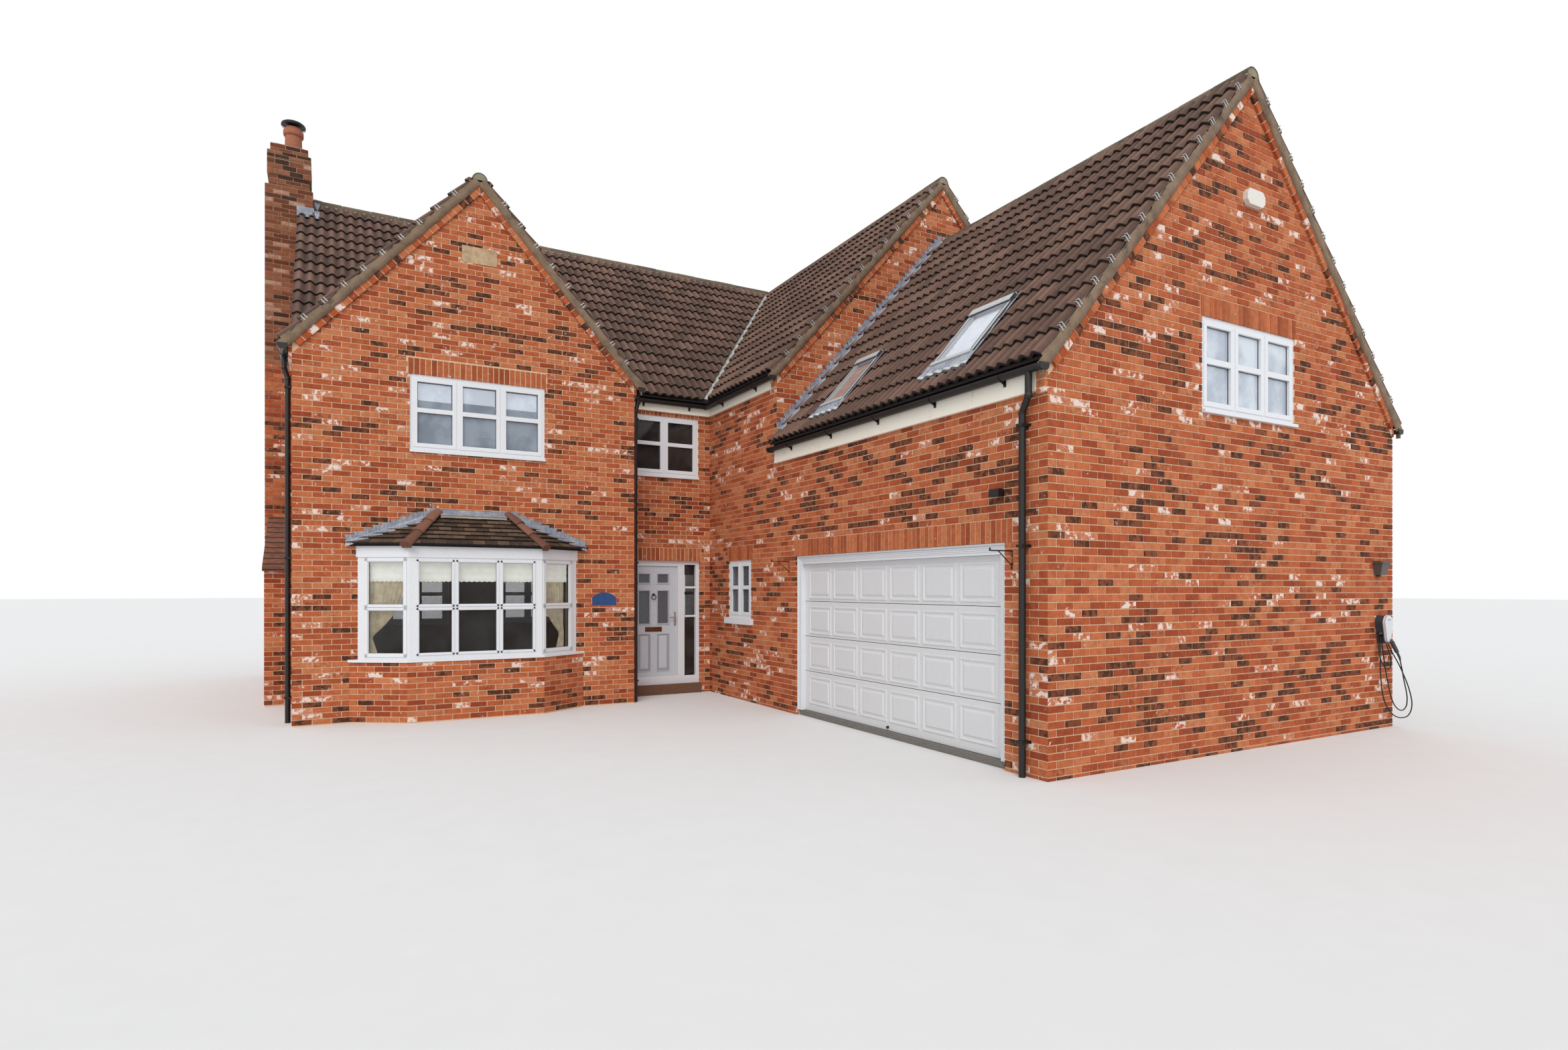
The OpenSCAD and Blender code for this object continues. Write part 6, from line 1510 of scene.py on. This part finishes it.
def bay_curtains():
    """Curtains held back to the wall side of both cants."""
    for i, (w, shift, d) in enumerate(bay_walls(0.114)):
        if i == 1:
            continue
        a, c = (0.05 - shift, d - 0.06) if i == 0 else (0.0, d + 0.015)
        rows = []
        for k in range(29):
            f = k / 28
            z = 2.20 - 1.30 * f
            # Share of the light that is covered: whole at the top, drawn in at the tie, fuller below it
            tie = 0.80
            share = 1 - 0.85 * (f / tie) ** 3.0 if f < tie else 0.15 + 0.16 * (f - tie) / (1 - tie)
            row = []
            for q in range(73):
                v = q / 72
                u = a + (c - a) * share * v if i == 0 else c - (c - a) * share * (1 - v)
                pinch = 0.009 + 0.010 * (1 - share)
                wave = pinch * sin(v * 2 * pi * 9 + 1.5 * blur(v * 3, f * 2, i))
                sag = 0.09 * sin(pi * (v if i == 0 else 1 - v)) * (1 - share) * (f if f < tie else tie)
                row.append(w.at(u, z - sag, wave))
            rows.append(row)
        cloth("bay_curtain_left" if i == 0 else "bay_curtain_right", rows, CURTAIN)


def window_blinds():
    """Blinds behind the upper window, the rooflights and the cloakroom window."""
    # White blinds in the left wing's upper window, drawn part of the way down
    w = Wall(None, 0, 0, 1, 0)
    x, wide, z, h = LEFT_WINDOW
    for i, (a, c, lo, hi) in enumerate(lights(wide, h, 3)[3:]):
        rows = [[w.at(x + a - 0.015 + (c - a + 0.03) * q / 12, z + hi + 0.02 - (0.245 if i == 1 else 0.262) * k / 6,
            -0.110 + 0.003 * blur(q * 0.4, k * 0.6, i)) for q in range(13)] for k in range(7)]
        cloth(f"upper_blind_{i}", rows, PALE_CLOTH)
    # Rooflight blinds in their frames
    s = garage_slope()
    for (y, wide), name, mat in zip(ROOFLIGHTS, ("far", "near"), (BROWN_CLOTH, WHITE_CLOTH)):
        rows = [[s.at(y + 0.062 + (wide - 0.124) * q / 10, LIGHT_S + 0.915 - 0.845 * k / 40,
            0.020 + 0.0035 * sin(k * 1.57)) for q in range(11)] for k in range(41)]
        cloth(f"rooflight_blind_{name}", rows, mat)
    # Slatted blinds in the cloakroom
    b = Build(SLAT)
    w = wing_wall(b)
    x, wide, z, h = CLOAK
    slat = 0.024
    for a, c, lo, hi in lights(wide, h, 2):
        for k in range(int((hi - lo) / slat)):
            v = z + (lo + 0.006 + k * slat)
            b.face([w.at(x + a - 0.01, v, -0.100), w.at(x + c + 0.01, v, -0.100),
                w.at(x + c + 0.01, v + 0.013, -0.118), w.at(x + a - 0.01, v + 0.013, -0.118)])
    b.done("cloakroom_blinds", "white_plastic")


# Doors, rainwater goods and fittings

def garage_sections():
    """The sectional door: four hinged rows of moulded panels, which stays shut."""
    b = Build(GARAGE_PAINT, GASKET)
    w = wing_wall(b)
    u0, wide, slab, face = RECESS + 2.353, 3.958, 0.075, -0.095
    heads = [0.0, 0.562, 1.058, 1.554, 2.085]
    margin, gap = 0.117, 0.064
    panel = (wide - 2 * margin + gap) / 6 - gap
    for j in range(4):
        lo, hi = slab + heads[j] + (0.003 if j else 0), slab + heads[j + 1] - (0.003 if j < 3 else 0)
        b.rings(w.at, [(u0, u0 + wide, lo, hi, face - 0.042), (u0, u0 + wide, lo, hi, face - 0.005),
            (u0, u0 + wide, lo + 0.005, hi - 0.005, face)])
        if j:
            b.box((u0, lo - 0.006, face - 0.030), (u0 + wide, lo, face - 0.007), w.at, 1)
        tall = heads[j + 1] - heads[j] - (0.165 if j == 0 else 0.100)
        z0 = slab + heads[j + 1] - gap - tall
        for i in range(6):
            a = u0 + margin + i * (panel + gap)
            # The moulding's steps as how far in and how far out
            b.rings(w.at, [(a + k, a + panel - k, z0 + k, z0 + tall - k, face + d) for k, d in ((0.0, -0.001),
                (0.004, 0.007), (0.014, 0.010), (0.026, 0.007), (0.034, -0.0005), (0.050, -0.0005), (0.072, 0.011),
                (0.080, 0.012))])
    b.outline(w.at, oval(u0 + wide / 2, slab + 0.042, 0.018, 0.018, 20), face, face + 0.024, 1, shrink=0.15)
    b.done("garage_door_sections", "white_metal", replaces=("garage_door",))


def door_mouldings():
    """Bevelled panels on the front door, and the stepped frame and threshold of the garage door."""
    b = Build(DOOR_PAINT, DOOR_GROOVE_SHADE)
    w = Wall(b, 0, RECESS + 0.076, 1, 0)
    wide = 0.115
    for side in (-1, 1):
        u = LW + 0.638 + side * 0.169
        # The low panel is raised, and the other two are lights
        for lo, hi, raised in ((0.398, 1.042, True), (1.192, 1.788, False), (1.889, 2.075, False)):
            def step(k, d, u=u, lo=lo, hi=hi):
                return (u - wide + k, u + wide - k, lo + k, hi - k, d)
            # How far in, how far out, and the material up to there; material 1 is darker paint, painted shade in the
            # grooves
            steps = [(0.006, 0.0, 0), (0.0, 0.014, 0), (0.010, 0.017, 0), (0.018, 0.010, 1)]
            if raised:
                steps += [(0.026, 0.003, 1), (0.040, 0.003, 1), (0.052, 0.0115, 0)]
            for (k, d, _), (k2, d2, mat) in zip(steps, steps[1:]):
                b.rings(w.at, [step(k, d), step(k2, d2)], mat, closed=False)
            if raised:
                b.rings(w.at, [step(0.052, 0.0115), step(0.060, 0.013)])
    b.done("front_door_panels", "door_paint", body="front_door")
    b = Build(WHITE, CONCRETE)
    w = wing_wall(b)
    u0, u1, z0, z1 = RECESS + GARAGE_U, RECESS + GARAGE_U + GARAGE_W, 0.076, GARAGE_TOP
    for g, thick, front in ((0.006, 0.012, -0.008), (0.034, 0.012, -0.026), (0.058, 0.010, -0.028),
            (0.078, 0.008, -0.026)):
        back = -0.016 if g < 0.02 else -0.036
        b.box((u0 + g, z1 - g - thick, back), (u1 - g, z1 - g, front), w.at)
        for a in (u0 + g, u1 - g - thick):
            b.box((a, z0, back), (a + thick, z1 - g - thick, front), w.at)
    b.box((u0 + 0.03, 0.002, -0.120), (u1 - 0.03, 0.073, -0.040), w.at, 1)
    b.done("garage_frame_mouldings", "white_plastic")


# Start, direction along it seen from outside, length, gutter top, and which ends are closed
GUTTERS = [
    (LW, -BAND_OUT, 0, 1, 0.758, GUTTER_TOP, "a"), (LW, RECESS, 1, 0, WX - LW, GUTTER_TOP, ""),
    (WX, 0.730, 0, -1, 2.438, GUTTER_TOP, "b"), (0, RECESS, 0, -1, 0.808, GUTTER_TOP, "b"),
    (WX, GABLE_Y, 0, -1, 5.298, GARAGE_GUTTER_TOP, "ab"),
    (WR, GARAGE_Y - BAND_OUT, 0, 1, 5.298, GARAGE_GUTTER_TOP, "ab"),
    (WR, GABLE_Y, 0, 1, 9.800, GUTTER_TOP, "ab"), (WX - 0.050, BACK, -1, 0, 6.240, GUTTER_TOP, "b")]


def gutter_parts():
    """Square stop ends, union clips and fascia brackets on the gutters."""
    b = Build(BLACK)
    side = [(0.046, 0.004), (0.046, -0.038), (0.066, -0.062), (0.146, -0.062), (0.168, -0.038), (0.168, 0.004)]
    for x, y, ux, uy, long, top, ends in GUTTERS:
        w = Wall(b, x, y, ux, uy)
        for which, u, turn in (("a", -0.034, 1), ("b", long + 0.034, -1)):
            if which in ends:
                n = len(side)
                pts = [w.at(u + k * 0.040 * turn, top + v, d) for k in (0, 1) for d, v in side]
                fs = [tuple(range(n)), tuple(range(2 * n - 1, n - 1, -1))]
                fs += [(i, n + i, n + (i + 1) % n, (i + 1) % n) for i in range(n)]
                b.mesh(pts, fs, flip=turn < 0)
        count = max(1, round(long / 1.0))
        for i in range(count):
            u = long * (i + 0.5) / count
            inner, outer = ([(0.106 - r * cos(pi * k / 10), -r * sin(pi * k / 10))
                for k in range(11)] for r in (0.0562, 0.063))
            for edge in (-0.016, 0.016):
                b.grid([[w.at(u + edge, top + v, d) for d, v in line] for line in (inner, outer)])
            b.mesh([w.at(u + e, top + v, d) for e in (-0.016, 0.016) for d, v in outer],
                [(k, 11 + k, 12 + k, k + 1) for k in range(10)])
            b.box((u - 0.016, top - 0.105, 0.050), (u + 0.016, top - 0.02, 0.060), w.at)
            b.outline(lambda p, q, d, w=w, u=u, top=top: w.at(u + d, top + q, p),
                [(0.060, -0.090), (0.060, -0.050), (0.120, -0.064), (0.100, -0.068)], -0.004, 0.004)
    b.done("gutter_brackets", "black_plastic")


def arc(v, r, angles):
    """Points of a circle about (0, v) at angles in degrees."""
    return [(r * cos(radians(a)), v + r * sin(radians(a))) for a in angles]


def small_fittings():
    """The front of the charging unit, and the bell push."""
    # Silver front over the charging unit, with a light bar
    b = Build(PEARL, SLATE)
    w = Wall(b, UNIT.x, GARAGE_Y, 1, 0)
    flat = arc(1.375, 0.099, range(-16, 197, 12)) + arc(1.175, 0.056, range(196, 345, 12))
    b.outline(w.at, flat, 0.096, 0.118, 0)
    b.outline(w.at, flat, 0.118, 0.1265, 0, shrink=0.07)
    b.box((-0.035, 1.405, 0.126), (0.035, 1.413, 0.1285), w.at, 1)
    b.done("charge_point_front", "box_plastic")
    # Bell push beside the door
    b = Build(WHITE, GASKET)
    w = Wall(b, 6.170, RECESS, 1, 0)
    b.outline(w.at, oval(0, 1.300, 0.022, 0.040, 24), 0.004, 0.020, 0, shrink=0.12)
    b.outline(w.at, oval(0, 1.292, 0.009, 0.009, 24), 0.019, 0.024, 1, shrink=0.2)
    b.done("door_bell", "white_plastic")


# Finishes of the nodes that stay as they are

NODE_FINISH = {
    MORTAR: "left_wing_front_wall left_side_wall left_wing_return_wall entrance_upper_wall entrance_piers "
        "wing_left_wall tall_gable_wall garage_front_wall right_side_wall back_wall verge_bands hearth_wall bay_base",
    STACK_MORTAR: "chimney_stack",
    WING_PLATE: "left_wing_roof tall_wing_roof garage_roof",
    MAIN_PLATE: "main_roof",
    # Near black on the bay roof's solid under its tiles: painted shade
    TILE_GAP_SHADE: "bay_roof",
    SIDE_TILE: "hearth_tiles",
    FASCIA: "fascias",
    WHITE: "bay_window bay_fascia upper_windows cloakroom_window back_windows front_door_frame garage_door_frame",
    GARAGE_PAINT: "garage_door",
    DOOR_PAINT: "front_door",
    BLACK: "gutters downpipes security_light basket_brackets",
    CLAY: "chimney_pot",
    DARK_METAL: "chimney_cowl",
    SILVER: "rooflights",
    FROSTED: "door_glass",
    FITTINGS: "door_fittings",
    STEP: "door_step",
    TABLETS: "wall_tablets",
    BOX_PLASTIC: "alarm_box",
    LANTERN: "wall_lantern",
    SLATE: "charge_point",
    CONCRETE: "ground_floors",
    TIMBER: "upper_floors",
}


def dress_nodes():
    """Each node that stays gets its finish."""
    for mat, names in NODE_FINISH.items():
        for name in names.split():
            for s in NODES[name].material_slots:
                s.material = mat


def relief(b, p, q, r0, r1):
    """A tapered sleeve round the lead from p to q."""
    p, q = Vector(p), Vector(q)
    way = (q - p).normalized()
    u = way.orthogonal().normalized()
    v = way.cross(u)
    rows = []
    for k in range(9):
        r = r0 + (r1 - r0) * k / 8 + (0.0012 if k % 2 else 0.0)
        rows.append([p.lerp(q, k / 8) + (u * x + v * y) * r for x, y in oval(0, 0, 1, 1, 20)])
    b.grid(rows, ring=True)


def cable():
    """The charging lead with its two sleeves, both ends on the unit."""
    data = bpy.data.curves.new("charge_lead", "CURVE")
    data.dimensions = "3D"
    data.bevel_depth, data.bevel_resolution, data.use_fill_caps = 0.007, 3, True
    points = [Vector(p) / 1000 + UNIT - DATUM for p in smooth_path(ROUTE)]
    line = data.splines.new("POLY")
    line.points.add(len(points) - 1)
    for p, q in zip(line.points, points):
        p.co = (*q, 1)
    data.materials.append(RUBBER)
    obj = placed("charge_lead", data)
    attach(obj, "house")
    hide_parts("charge_cable")
    for name, a, c, long, r in (("lead_relief_unit", 0, 1, 0.034, 0.0092), ("lead_relief_plug", -1, -2, 0.048, 0.0125)):
        b = Build(RUBBER)
        p, q = (Vector(ROUTE[i]) / 1000 + UNIT for i in (a, c))
        relief(b, p, p + (q - p).normalized() * long, r, 0.0078)
        b.done(name, "cable_rubber")
    tuple(points[0])
    round(length(points), 3)


def surroundings():
    """A pale floor, a white sky that lights the scene less than it shows, and a soft sun."""
    data = bpy.data.meshes.new("floor")
    r = 160
    data.from_pydata([(-r, -r, 0), (r, -r, 0), (r, r, 0), (-r, r, 0)], [], [(0, 1, 2, 3)])
    m = Finish("floor", rough=0.9)
    m.colour(m.mix(m.noise(3, 4), (226, 226, 226), (220, 220, 219)))
    data.materials.append(m.mat)
    placed("floor", data)
    scene = bpy.context.scene
    scene.view_settings.view_transform = "Standard"
    world = bpy.data.worlds.new("world")
    scene.world = world
    world.use_nodes = True
    n, l = world.node_tree.nodes, world.node_tree.links
    lit = n["Background"]
    lit.inputs["Color"].default_value = (0.93, 0.96, 1.0, 1)
    lit.inputs["Strength"].default_value = 0.85
    seen = n.new("ShaderNodeBackground")
    seen.inputs["Color"].default_value = (1, 1, 1, 1)
    seen.inputs["Strength"].default_value = 1.0
    path = n.new("ShaderNodeLightPath")
    rays = path.outputs["Is Camera Ray"]
    for kind in ("Is Glossy Ray", "Is Transmission Ray"):
        add = n.new("ShaderNodeMath")
        add.operation, add.use_clamp = "ADD", True
        l.new(rays, add.inputs[0])
        l.new(path.outputs[kind], add.inputs[1])
        rays = add.outputs[0]
    mix = n.new("ShaderNodeMixShader")
    l.new(rays, mix.inputs[0])
    l.new(lit.outputs[0], mix.inputs[1])
    l.new(seen.outputs[0], mix.inputs[2])
    l.new(mix.outputs[0], n["World Output"].inputs["Surface"])
    sun = bpy.data.lights.new("sun", "SUN")
    sun.energy, sun.angle, sun.color = 1.5, radians(40), (1.0, 0.97, 0.92)
    placed("sun", sun).rotation_euler = (radians(48), 0, radians(-34))


camera()
cable()
brickwork()
verges()
chimney_bricks()
hearth_bricks()
bay_base_bricks()
roofs()
ridges()
bay_tiles()
leadwork()
glazing()
bay_blinds()
bay_curtains()
window_blinds()
garage_sections()
door_mouldings()
gutter_parts()
small_fittings()
dress_nodes()
surroundings()
